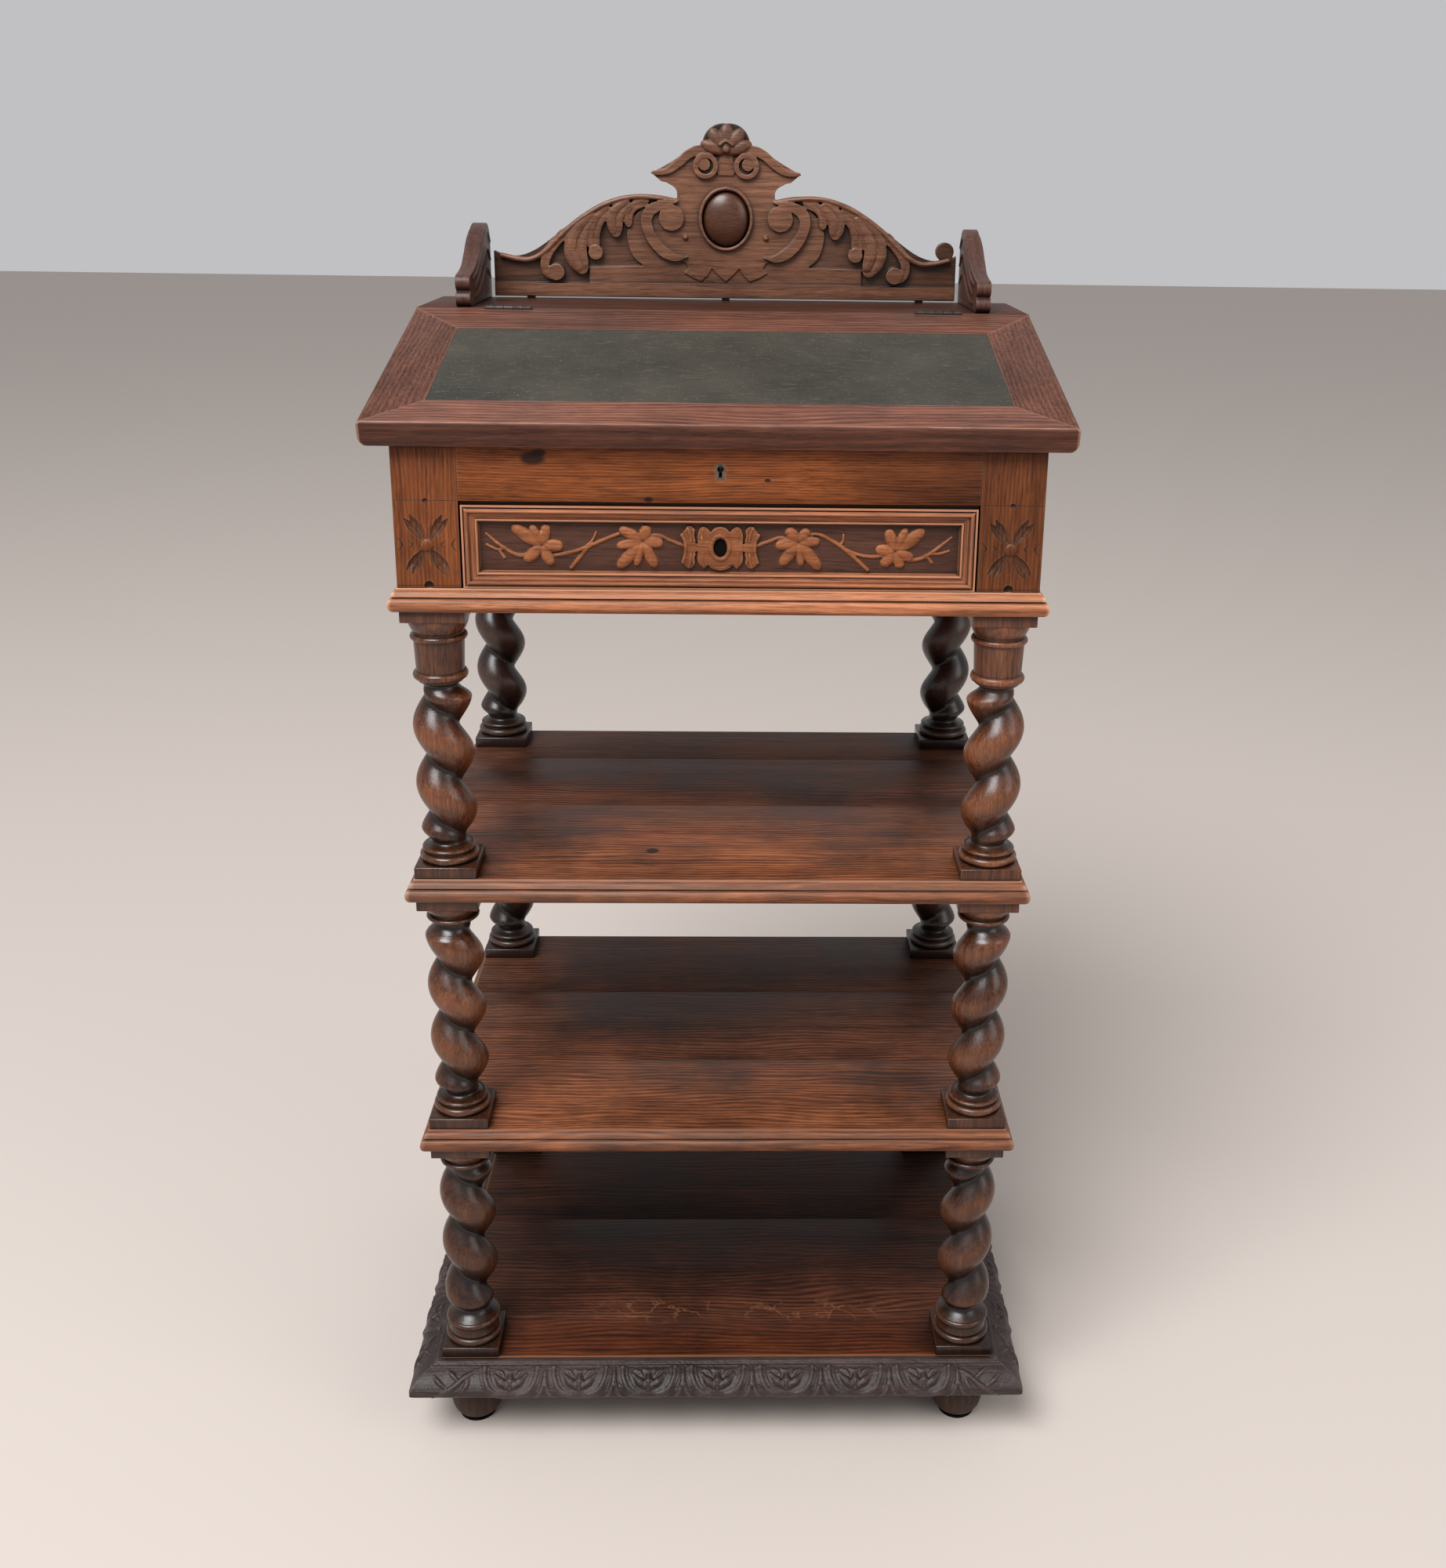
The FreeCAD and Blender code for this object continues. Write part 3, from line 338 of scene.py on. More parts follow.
def oak(name, *shared, **changes):
    look = dict(oakLook)
    for part in (*shared, changes):
        look.update(part)
    dark, mid, light = look["tones"]
    material, tree, shader = newFinish(name)
    place = addNode(tree, "TexCoord").outputs["Object"]
    split = addNode(tree, "SeparateXYZ", {"Vector": place})
    turned = mapped(tree, place, Rotation=grainTurn[look["grain"]])

    # the grain sways a little as it runs
    sway = noiseOf(tree, turned, (4, 16, 16), 1.0, output="Color")
    grain = addNode(tree, "VectorMath", {0: sway, 1: (0.0, 0.016, 0.016), 2: turned},
                    operation="MULTIPLY_ADD").outputs["Vector"]
    waves = {"Vector": mapped(tree, grain, Scale=(0.22, 1, 1)), "Scale": math.pi / (10 * look["ring"] * mm),
             "Distortion": look["wander"], "Detail": 2.0, "Detail Scale": look["flow"],
             "Detail Roughness": 0.55}
    lines = addNode(tree, "TexWave", waves, wave_type="BANDS", bands_direction=look["across"]).outputs["Fac"]
    streaks, fibres, bands, pores = (noiseOf(tree, grain, *shape) for shape in grainNoise.values())
    patches = noiseOf(tree, place, (7, 7, 7), 4.0, 0.6)
    figure = weigh(tree, (streaks, look["streaks"]), (lines, look["lines"]), (fibres, 1.0),
                   (bands, look["bands"]))
    colour = ramp(tree, figure, (0.15, dark), (0.5, mid), (0.9, light))
    poreMask = mapRange(tree, pores, 0.56, 0.66, 0.0, look["pores"])
    colour = mixColours(tree, "MIX", poreMask, colour, [0.3 * c for c in dark])
    tone = mapRange(tree, patches, 0.3, 0.7, 1 - look["patch"], 1 + look["patch"] * 0.7)
    colour = mixColours(tree, "MULTIPLY", 1.0, colour, tone)
    for x, y, z, size in look["knots"]:
        core = roundSpot(tree, place, (x, y, z), (size, size, size / 1.7))
        ragged = mapRange(tree, weigh(tree, (core, 1.0), (fibres, 0.5)), 0.12, 0.45, 0.0, 0.92)
        colour = mixColours(tree, "MIX", ragged, colour, [0.15 * c for c in dark])

    # rubbed pale with painted highlight, darker by its place (painted shade on the shelf backs and the
    # gallery ground), and dark with dust and painted shade in corners
    # painted shade in the creases and painted highlight on the ridges, by how far each point stands out
    if look["relief"]:
        height = addNode(tree, "Attribute", attribute_name="relief").outputs["Fac"]
        carved = mapRange(tree, height, 0.05, 0.9, *look["relief"])
        colour = mixColours(tree, "MULTIPLY", 1.0, colour, carved)
    colour = mixColours(tree, "MIX", rubbedShare(tree, look, split, patches), colour, look["worn"])
    for axis, start, end, left in look["fades"]:
        fade = mapRange(tree, split.outputs[axis], start * mm, end * mm, 1.0, left)
        colour = mixColours(tree, "MULTIPLY", 1.0, colour, fade)
    for x, y, long, wide in look["scuffs"]:
        core = roundSpot(tree, place, (x, y, 0), (long, wide, 1000))
        curls = ramp(tree, noiseOf(tree, place, (34, 52, 34)), (0.47, (0, 0, 0)), (0.5, (1, 1, 1)),
                     (0.53, (0, 0, 0)))
        scratched = maths(tree, "MULTIPLY", curls, mapRange(tree, core, 0.0, 0.7, 0.0, 0.34))
        colour = mixColours(tree, "MIX", scratched, colour, look["worn"])
    # dust and painted shade: darker where corners, creases, recesses and the space under the shelves close
    # in
    corner = addNode(tree, "AmbientOcclusion", {"Distance": look["reach"] * mm}, samples=6).outputs["AO"]
    dusty = mapRange(tree, corner, *look["deep"], look["grime"], 0.0)
    colour = mixColours(tree, "MIX", dusty, colour, look["dirt"])

    sheen = mapRange(tree, patches, 0.3, 0.7, look["gloss"] - 0.08, look["gloss"] + 0.12)
    uneven = bumpOver(tree, noiseOf(tree, place, (26, 26, 26)), 0.35, 0.6)
    if look["chips"]:
        uneven = bumpOver(tree, noiseOf(tree, place, (150, 150, 150), 5.0, 0.7), look["chips"], 1.5, uneven)
    fine = bumpOver(tree, figure, 0.3, 0.3, uneven)
    feed(tree, shader, {"Base Color": colour, "Roughness": sheen, "Specular IOR Level": look["shine"],
                        "Normal": bumpOver(tree, poreMask, -0.4, 0.3, fine)})
    return material


nosingReach = 9          # mm that the shelves' nosing stands out

caseColours = {"tones": ((0.085, 0.020, 0.005), (0.190, 0.049, 0.011), (0.29, 0.086, 0.022)), "ring": 2.8,
               "wander": 12, "flow": 0.2, "lines": 0.28, "bands": 0.5, "reach": 8, "wear": 0.3}
sideOak = oak("sideOak", caseColours, grain="y", bands=0.8, patch=0.5,
              tones=((0.085, 0.020, 0.005), (0.150, 0.040, 0.010), (0.24, 0.071, 0.020)))
railOak = oak("railOak", caseColours, fades=(("X", 30, 225, 0.55),),
              knots=((-174, -207, 1103, 15), (-168, -207, 1108, 9), (-67, -207, 1065, 6),
                     (44, -207, 1084, 4)))
stileColours = {"grain": "z", "ring": 4, "wander": 8, "lines": 0.2, "bands": 0.5, "reach": 7, "grime": 0.95,
                "deep": (0.5, 0.97), "wear": 0.2, "fades": (("X", 0, 240, 0.74),)}
stileOak = oak("stileOak", stileColours,
               tones=((0.074, 0.018, 0.005), (0.146, 0.038, 0.009), (0.235, 0.070, 0.019)))
# darker copy for the faces inside the carved cuts: painted shade
stileCutOak = oak("stileCutOak", stileColours,
                  tones=((0.050, 0.016, 0.007), (0.112, 0.036, 0.014), (0.19, 0.066, 0.028)))
# lighter copy with wide pale arrises for the case floor's nosing: painted highlight along with wear
mouldingOak = oak("mouldingOak", worn=(0.62, 0.33, 0.20), wear=0.85, rub=4.5, reach=5, deep=(0.3, 0.95),
                  tones=((0.13, 0.037, 0.013), (0.31, 0.103, 0.042), (0.47, 0.185, 0.088)))
frameColours = {"tones": ((0.090, 0.026, 0.010), (0.215, 0.066, 0.025), (0.34, 0.118, 0.050)),
                "worn": (0.58, 0.29, 0.17), "wear": 0.8, "rub": 1.6, "reach": 5, "deep": (0.35, 0.95)}
frameOak = oak("frameOak", frameColours)
frameEndOak = oak("frameEndOak", frameColours, grain="z")
drawerGround = oak("drawerGround", lines=0.05, bands=0.25, reach=9,
                   tones=((0.034, 0.013, 0.008), (0.054, 0.020, 0.012), (0.080, 0.031, 0.019)))
leafOak = oak("leafOak", ridges=True, ring=14, reach=3, grime=0.98, deep=(0.6, 1.0), worn=(0.42, 0.20, 0.11),
              wear=0.8, chips=0.2,
              tones=((0.115, 0.034, 0.011), (0.195, 0.061, 0.021), (0.28, 0.098, 0.037)))
lidColours = {"tones": ((0.066, 0.020, 0.011), (0.142, 0.048, 0.028), (0.23, 0.090, 0.054)),
              "worn": (0.42, 0.24, 0.16), "wear": 0.2, "shine": 0.26}
lidGrain = {"across": "Y", "ring": 7, "wander": 18, "flow": 0.34, "lines": 0.42}
lidOak = oak("lidOak", lidGrain, lidColours)
backRailOak = oak("backRailOak", lidGrain, lidColours,
                  tones=((0.044, 0.013, 0.007), (0.090, 0.030, 0.016), (0.150, 0.056, 0.032)))
# darker copy of the lid finish for the top strip: painted shade
stripOak = oak("stripOak", lidGrain, lidColours, shine=0.18,
               tones=((0.022, 0.006, 0.003), (0.050, 0.0145, 0.007), (0.088, 0.028, 0.015)))
lidEndOak = oak("lidEndOak", lidColours, grain="y", across="Y", ring=5, wander=6, shine=0.2,
                tones=((0.040, 0.013, 0.008), (0.090, 0.032, 0.019), (0.150, 0.060, 0.037)))
# darker copy for the lid's front and end faces, painted shade; a lighter one for the arris faces that look
# forward and up, painted highlight
lidEdgeOak = oak("lidEdgeOak", lidColours, wear=0.45, rub=1.8,
                 tones=((0.030, 0.009, 0.005), (0.070, 0.021, 0.011), (0.120, 0.040, 0.022)))
lidArrisOak = oak("lidArrisOak", lidColours,
                  tones=((0.13, 0.048, 0.028), (0.25, 0.110, 0.070), (0.40, 0.215, 0.145)))
galleryColours = {"ridges": True, "lines": 0.12, "bands": 0.5, "reach": 11, "grime": 0.98,
                  "deep": (0.42, 0.97), "shine": 0.34, "gloss": 0.40}
# the fade in Y darkens the sunk ground, painted shade; the fade in Z darkens it towards the top of the crest
galleryOak = oak("galleryOak", galleryColours, worn=(0.29, 0.155, 0.10), wear=0.75,
                 tones=((0.064, 0.022, 0.011), (0.138, 0.055, 0.028), (0.215, 0.095, 0.053)),
                 fades=(("Y", 226, 230.5, 0.56), ("Z", 1378, 1400, 0.55)))
cabochonOak = oak("cabochonOak", lines=0.0, streaks=0.6, bands=0.3, wear=0.0, shine=0.42, gloss=0.32,
                  reach=5, tones=((0.040, 0.012, 0.006), (0.072, 0.024, 0.011), (0.11, 0.039, 0.019)))
bracketOak = oak("bracketOak", galleryColours, grain="z", worn=(0.19, 0.09, 0.06), wear=0.6,
                 tones=((0.026, 0.009, 0.005), (0.060, 0.022, 0.014), (0.105, 0.042, 0.028)))
columnColours = {"grain": "z", "across": "Y", "lines": 0.1, "bands": 0.8, "reach": 14, "deep": (0.35, 0.97),
                 "grime": 0.98, "shine": 0.44, "gloss": 0.27, "patch": 0.5}
columnOak = oak("columnOak", columnColours, relief=(0.10, 1.14), worn=(0.25, 0.094, 0.040), wear=0.30,
                fades=(("Z", 700, 150, 0.30),), streaks=1.4,
                tones=((0.034, 0.010, 0.004), (0.095, 0.029, 0.011), (0.18, 0.062, 0.025)))
# darker copy of the column finish for the rear columns: painted shade
rearColumnOak = oak("rearColumnOak", columnColours, relief=(0.25, 1.2), worn=(0.085, 0.042, 0.028), wear=0.4,
                    tones=((0.007, 0.003, 0.002), (0.020, 0.009, 0.006), (0.042, 0.018, 0.012)))
low, high = boxMm("upper_shelf")
shelfColours = {"across": "Y", "worn": (0.40, 0.215, 0.14), "wear": 0.85, "rub": 6.0, "ring": 6,
                "wander": 20, "flow": 0.3, "lines": 0.42, "bands": 0.9, "patch": 0.7, "shine": 0.28,
                "gloss": 0.5, "reach": 60, "grime": 0.68,
                "rim": (high.x - nosingReach, low.y + nosingReach, 6)}
# the front planks fade darker towards the back: painted shade
plankColours = {"tones": ((0.058, 0.015, 0.005), (0.155, 0.045, 0.015), (0.26, 0.088, 0.035)),
                "fades": (("Y", -150, 0, 0.70),)}
shelfOak = oak("shelfOak", plankColours, shelfColours, knots=((-71, -135, 677, 9),))
lowShelfOak = oak("lowShelfOak", plankColours, shelfColours, worn=(0.26, 0.13, 0.083))
# back planks of the shelves: darker tones and a fade towards the back, painted shade
shelfBackOak = oak("shelfBackOak", shelfColours, shine=0.15, fades=(("Y", -40, 160, 0.68),),
                   tones=((0.046, 0.015, 0.007), (0.108, 0.037, 0.018), (0.185, 0.068, 0.035)))
baseColours = {**shelfColours, "reach": 90, "grime": 0.85, "shine": 0.14, "worn": (0.30, 0.13, 0.06),
               "scuffs": ((-70, -130, 95, 26), (110, -132, 115, 24))}
baseOak = oak("baseOak", baseColours,
              tones=((0.020, 0.0045, 0.0014), (0.054, 0.0125, 0.0036), (0.095, 0.025, 0.008)))
# back planks of the base: darker tones and a fade towards the back, painted shade
baseBackOak = oak("baseBackOak", baseColours, fades=(("Y", -120, 0, 0.5),),
                  tones=((0.020, 0.006, 0.003), (0.055, 0.017, 0.008), (0.105, 0.034, 0.016)))
skirtOak = oak("skirtOak", ridges=True, ring=11, lines=0.1, worn=(0.17, 0.11, 0.09), wear=0.95, gloss=0.40,
               shine=0.34, reach=6, deep=(0.62, 1.0), grime=0.98, patch=0.7, chips=0.7,
               tones=((0.011, 0.006, 0.005), (0.028, 0.016, 0.014), (0.058, 0.035, 0.030)))
footOak = oak("footOak", ridges=True, grain="z", worn=(0.11, 0.06, 0.04),
              tones=((0.016, 0.008, 0.005), (0.040, 0.019, 0.012), (0.065, 0.033, 0.021)))
innerOak = oak("innerOak", across="Y", ring=14, gloss=0.65, shine=0.1,
               tones=((0.085, 0.033, 0.012), (0.160, 0.069, 0.027), (0.23, 0.107, 0.045)))


def plainMetal(name, colour, rough, rust):
    material, tree, shader = newFinish(name)
    spots = noiseOf(tree, addNode(tree, "TexCoord").outputs["Object"], (160, 160, 160), 4.0, 0.65)
    rusty = mixColours(tree, "MIX", mapRange(tree, spots, 0.45, 0.65, 0.0, 0.7), colour, rust)
    feed(tree, shader, {"Base Color": rusty, "Metallic": 0.85, "Normal": bumpOver(tree, spots, 0.2, 0.15),
                        "Roughness": mapRange(tree, spots, 0.3, 0.7, rough - 0.1, rough + 0.15)})
    return material


def deskLeather():
    material, tree, shader = newFinish("deskLeather")
    place = addNode(tree, "TexCoord").outputs["Object"]
    clouds = noiseOf(tree, place, (9, 9, 9), 5.0, 0.65)
    scuffs = noiseOf(tree, place, (60, 260, 260), 4.0, 0.65)
    specks = noiseOf(tree, place, (420, 420, 420))
    colour = ramp(tree, clouds, (0.3, (0.018, 0.016, 0.011)), (0.7, (0.048, 0.042, 0.031)))
    scuffed = mapRange(tree, scuffs, 0.56, 0.74, 0.0, 0.45)
    colour = mixColours(tree, "MIX", scuffed, colour, (0.11, 0.095, 0.07))
    specked = mapRange(tree, specks, 0.66, 0.72, 0.0, 0.5)
    colour = mixColours(tree, "MIX", specked, colour, (0.16, 0.14, 0.11))
    pebble = addNode(tree, "TexVoronoi", {"Vector": place, "Scale": 900.0})
    grain = bumpOver(tree, pebble.outputs["Distance"], 0.25, 0.15)
    feed(tree, shader, {"Base Color": colour, "Roughness": mapRange(tree, clouds, 0.3, 0.7, 0.46, 0.62),
                        "Specular IOR Level": 0.25, "Normal": bumpOver(tree, clouds, 0.3, 1.0, grain)})
    return material


def plainFinish(name, colour, rough, shine):
    material, tree, shader = newFinish(name)
    feed(tree, shader, {"Base Color": (*colour, 1), "Roughness": rough, "Specular IOR Level": shine})
    return material


darkIron = plainMetal("darkIron", (0.045, 0.038, 0.034), 0.5, (0.022, 0.014, 0.011))
agedBrass = plainMetal("agedBrass", (0.16, 0.125, 0.09), 0.45, (0.05, 0.036, 0.026))
lockSteel = plainMetal("lockSteel", (0.30, 0.28, 0.26), 0.38, (0.12, 0.085, 0.065))
leather = deskLeather()
# dull black for the foot pads, and for the painted shade in the keyhole
pad = plainFinish("dullBlack", (0.004, 0.003, 0.003), 0.9, 0.05)
print("finishes mixed:", len(bpy.data.materials))


# carving moves

def ball(spot, radius, place):
    deselectAll()
    bpy.ops.mesh.primitive_uv_sphere_add(segments=16, ring_count=10, radius=radius * mm,
                                         location=place(*spot))
    return bpy.context.object


def stroke(path, widths, place):
    # one carved finger through its points, as thick as its widths, with rounded tips
    deselectAll()
    bpy.ops.curve.primitive_bezier_curve_add()
    line = bpy.context.object.data
    line.dimensions = "3D"
    line.bevel_depth = mm
    line.bevel_resolution = 2
    line.resolution_u = 6
    line.use_fill_caps = True
    points = line.splines[0].bezier_points
    points.add(len(path) - 2)
    for point, spot, width in zip(points, path, widths):
        point.co = place(*spot)
        point.handle_left_type = "AUTO"
        point.handle_right_type = "AUTO"
        point.radius = width
    bpy.ops.object.convert(target="MESH")
    finger = bpy.context.object
    return [finger, ball(path[-1], widths[-1], place), ball(path[0], widths[0], place)]


def petal(base, tip, wide, thick, place):
    # a plump leaf lobe: a ball drawn out from its base to its tip
    deselectAll()
    long = math.dist(base, tip) / 2
    turn = math.atan2(tip[1] - base[1], tip[0] - base[0])
    bpy.ops.mesh.primitive_uv_sphere_add(segments=24, ring_count=14, radius=mm, rotation=(0, -turn, 0),
                                         location=place((base[0] + tip[0]) / 2, (base[1] + tip[1]) / 2),
                                         scale=(long, thick, wide))
    return bpy.context.object


def sideways(path, widths, share):
    # the path moved over by a share of its half widths
    last = len(path) - 1
    moved = []
    for i, ((u, v), half) in enumerate(zip(path, widths)):
        before, after = path[max(i - 1, 0)], path[min(i + 1, last)]
        away = share * half / math.dist(before, after)
        moved.append((u - away * (after[1] - before[1]), v + away * (after[0] - before[0])))
    return moved


def crowns(path, widths, place):
    # two rounded backs along a band, with the vein between them
    made = []
    for share, part in ((-0.40, 0.56), (0.58, 0.38)):
        made += stroke(sideways(path, widths, share), [part * half for half in widths], place)
    return made


def press(piece, flat, y):
    # flattens rounds against a face that looks forwards
    editAll(piece)
    bpy.ops.transform.resize(value=(1, flat, 1), center_override=(0, y * mm, 0))
    setMode("OBJECT")
    return piece


def atDepth(y, side=1):
    # lays a drawing of x and z on an upright face, on the right side or the left one
    return lambda x, z: (side * x * mm, y * mm, z * mm)


def onSide(points, side):
    return [(side * x, *rest) for x, *rest in points]


def mirrored(outline):
    # closes a right-hand outline with its left-hand twin
    return [*outline, *onSide([point for point in reversed(outline) if point[0] > 0], -1)]


def ringPath(half, tall, z, count=16):
    # once round an oval, ending where it starts
    turns = (2 * math.pi * i / count for i in range(count + 1))
    return [(half * math.sin(turn), z + tall * math.cos(turn)) for turn in turns]


def oval(half, tall, x, z):
    return [(x + u, v, 1) for u, v in ringPath(half, tall, z)[:-1]]


def plate(name, outline, front, back, *holes):
    # a flat shape sawn out in x and z, between two depths; a point with a third value is a smooth one
    deselectAll()
    bpy.ops.curve.primitive_bezier_curve_add()
    line = bpy.context.object.data
    line.dimensions = "2D"
    line.fill_mode = "BOTH"
    line.extrude = (back - front) / 2 * mm
    line.resolution_u = 8
    for shapeLine in (outline, *holes):
        spline = line.splines[0] if shapeLine is outline else line.splines.new("BEZIER")
        spline.use_cyclic_u = True
        spline.bezier_points.add(len(shapeLine) - len(spline.bezier_points))
        for point, (x, z, *smooth) in zip(spline.bezier_points, shapeLine):
            point.co = (x * mm, z * mm, 0)
            point.handle_left_type = "AUTO" if smooth else "VECTOR"
            point.handle_right_type = "AUTO" if smooth else "VECTOR"
    bpy.ops.object.convert(target="MESH")
    shape = bpy.context.object
    shape.name = name
    shape.rotation_euler = (math.pi / 2, 0, 0)
    shape.location = (0, (front + back) / 2 * mm, 0)
    return closeUp(applyPlace(shape))


def ribbon(name, path, widths, front, back):
    # a flat carved band along its middle line, with a round end
    beyond = widths[-1] / math.dist(path[-2], path[-1])
    tip = [b + beyond * (b - a) for a, b in zip(path[-2], path[-1])]
    outline = sideways(path, widths, 1) + [tip] + sideways(path, widths, -1)[::-1]
    return plate(name, [(x, z, 1) for x, z in outline], front, back)


def carveTogether(piece, voxel, smooth, keep):
    # fuses overlapping shapes into one carved skin, rubs it down and keeps a share of its triangles
    applyModifier(piece, "REMESH", mode="VOXEL", voxel_size=voxel * mm, adaptivity=0.0)
    applyModifier(piece, "SMOOTH", factor=0.5, iterations=smooth)
    if keep < 1:
        applyModifier(piece, "DECIMATE", ratio=keep)
    return piece


# turned work

def beadRows(level, height, inner, reach):
    return [(level + height * (1 - math.cos(t)) / 2, inner + (reach - inner) * math.sin(t))
            for t in (math.pi * i / 8 for i in range(9))]


def quarterRows(level, height, low, high, shareAt):
    # a quarter round or hollow between two radii
    return [(level + height * i / 6, low + (high - low) * shareAt(math.pi / 2 * i / 6)) for i in range(7)]


def hollowRows(level, height, low, high):
    return quarterRows(level, height, low, high, math.sin if low > high else lambda turn: 1 - math.cos(turn))


def ovoloRows(level, height, low, high):
    return quarterRows(level, height, low, high, math.sin)


def flatRows(level, height, low, high):
    return [(level, low), (level + height, high)]


shapeRows = {"bead": beadRows, "hollow": hollowRows, "ovolo": ovoloRows, "flat": flatRows}


def mouldingRows(level, parts):
    # levels and radii of a run of turned shapes, and the level where it ends
    rows = []
    for kind, height, low, high in parts:
        rows += shapeRows[kind](level, height, low, high)
        level += height
    return rows, level


def markRelief(piece, values):
    # how far each point stands out, 0 in a crease and 1 on a ridge, for the finish to read
    piece.data.attributes.new("relief", "FLOAT", "POINT").data.foreach_set("value", values)


def turnedTube(name, rows, sides, radiusAt):
    # rolls a grid into a tube, one ring of points to a row
    deselectAll()
    bpy.ops.mesh.primitive_grid_add(x_subdivisions=sides, y_subdivisions=len(rows) - 1, size=1)
    tube = bpy.context.object
    tube.name = name
    for vert in tube.data.vertices:
        angle = 2 * math.pi * (vert.co.x + 0.5)
        level, radius = rows[round((vert.co.y + 0.5) * (len(rows) - 1))]
        reach = radiusAt(level, radius, angle)
        vert.co = (reach * math.sin(angle) * mm, -reach * math.cos(angle) * mm, level * mm)
    return closeUp(tube)


# columns

columnShape = {
    "sides": 72,
    "step": 2.2,         # mm between rings of the twist
    "neck": 17,          # radius where the twist begins and ends
    "core": 26,          # radius of the turning inside plinth and cap
    "valley": 15.0,      # radius in the crease
    "swell": 14.6,       # how far the strand stands over the crease
    "sharp": 0.58,       # lower is a sharper crease
    "soft": 0.002,       # rounds the bottom of the crease
    "fade": 15,          # mm over which the twist comes in
    "plinth": 12,
    "cap": 12,
    "eased": (1.2, 1.0),         # bevels of plinth and cap
    "spigot": 10,        # hidden at each end
    "blockTones": (0.60, 0.84),  # relief that the plinth and the cap are finished at
}
footRows = (("bead", 9, 25.5, 29.8), ("flat", 1.2, 25, 25), ("bead", 5.5, 22.5, 27), ("hollow", 3.5, 22, 17))
headRows = (("hollow", 4, 17, 21), ("bead", 6, 22.5, 27), ("flat", 1, 23.5, 23.5), ("ovolo", 12, 24, 30))
# pitch of the twist, a level where the strand bulges to the left, and the turned rings under and over it
columnTiers = {
    "lower": {"pitch": 62.5, "bulge": 234,
              "foot": (("bead", 9, 26.5, 31), ("flat", 1.5, 26, 26), ("hollow", 9, 27.5, 26),
                       ("bead", 8, 25.5, 29.5), ("hollow", 10, 26.5, 17)),
              "head": headRows},
    "middle": {"pitch": 61, "bulge": 548, "foot": footRows, "head": headRows},
    "upper": {"pitch": 61, "bulge": 834, "foot": footRows,
              "head": (("hollow", 4, 17, 21), ("flat", 2, 22, 22), ("bead", 9, 22.5, 27),
                       ("flat", 31, 23.5, 24.8), ("bead", 7, 24, 28), ("flat", 1.5, 24.5, 24.5),
                       ("ovolo", 14.5, 25, 30))},
}


def twistRadius(tier, start, end):
    # the strand leans out to the left at the bulge level and climbs to the left across the front
    shape = columnShape

    def radiusAt(level, radius, angle):
        if not start < level < end:
            return radius
        lean = -math.pi / 2 - 2 * math.pi * (level - tier["bulge"]) / tier["pitch"]
        ridge = (math.cos((angle - lean) / 2) ** 2 + shape["soft"]) ** shape["sharp"]
        fade = min(1.0, (level - start) / shape["fade"], (end - level) / shape["fade"])
        fade = fade * fade * (3 - 2 * fade)
        return shape["neck"] + (shape["valley"] + shape["swell"] * ridge - shape["neck"]) * fade

    return radiusAt


def leftColumn(name, tier):
    # modelled about the axis at x = 0, y = 0
    shape = columnShape
    low, high = boxMm(f"column_{name}_front_left")
    low.z, high.z = low.z + shape["spigot"], high.z - shape["spigot"]
    half = (high.x - low.x) / 2
    core, valley, swell = shape["core"], shape["valley"], shape["swell"]
    foot, start = mouldingRows(low.z + shape["plinth"] - 1, (("flat", 1, core, core),) + tier["foot"])
    end = high.z - shape["cap"] - sum(part[1] for part in tier["head"])
    count = round((end - start) / shape["step"])
    twist = [(start + (end - start) * i / count, shape["neck"]) for i in range(1, count)]
    head, top = mouldingRows(end, tier["head"])
    rows = foot + twist + head + [(top + 1, core)]
    tube = turnedTube(name, rows, shape["sides"], twistRadius(tier, start, end))
    plinthEase, capEase = shape["eased"]
    plinth = block("plinth", (-half, -half, low.z), (half, half, low.z + shape["plinth"]), plinthEase)
    cap = block("cap", (-half, -half, high.z - shape["cap"]), (half, half, high.z), capEase)
    markRelief(tube, [(vert.co.xy.length / mm - valley) / swell for vert in tube.data.vertices])
    for piece, tone in zip((plinth, cap), shape["blockTones"]):
        markRelief(piece, [tone] * len(piece.data.vertices))
    return joinAll([tube, plinth, cap], f"column pattern {name}")


for tierName, tier in columnTiers.items():
    pattern = leftColumn(tierName, tier)
    for hand in ("left", "right"):
        for row, finish in (("front", columnOak), ("rear", rearColumnOak)):
            node = f"column_{tierName}_{row}_{hand}"
            column = copyOf(pattern, "turned_" + node)
            if hand == "right":
                flipAcross(column)
            seat(standAt(column, *boxMm(node)), "desk", "column_oak", finish, node, sharp=50)
    bpy.data.objects.remove(pattern)
print("columns turned")


# feet

footShape = {
    "sides": 48,
    "rows": (("ovolo", 3, 18, 20.5), ("bead", 46, 20.5, 29.5), ("flat", 2, 19, 19), ("bead", 9, 25, 29)),
    "top": (66, 20),     # level and radius inside the base board
}
rows, top = mouldingRows(boxMm("foot_front_left")[0].z, footShape["rows"])
footPattern = turnedTube("foot pattern", rows + [footShape["top"]], footShape["sides"],
                         lambda level, radius, angle: radius)
for corner in ("front_left", "front_right", "rear_left", "rear_right"):
    foot = standAt(copyOf(footPattern, "turned_foot_" + corner), *boxMm("foot_" + corner))
    seat(foot, "desk", "foot_oak", footOak, "foot_" + corner)
bpy.data.objects.remove(footPattern)
paintNode(pad, "foot_pads")
print("feet turned")


# shelves, planked and moulded

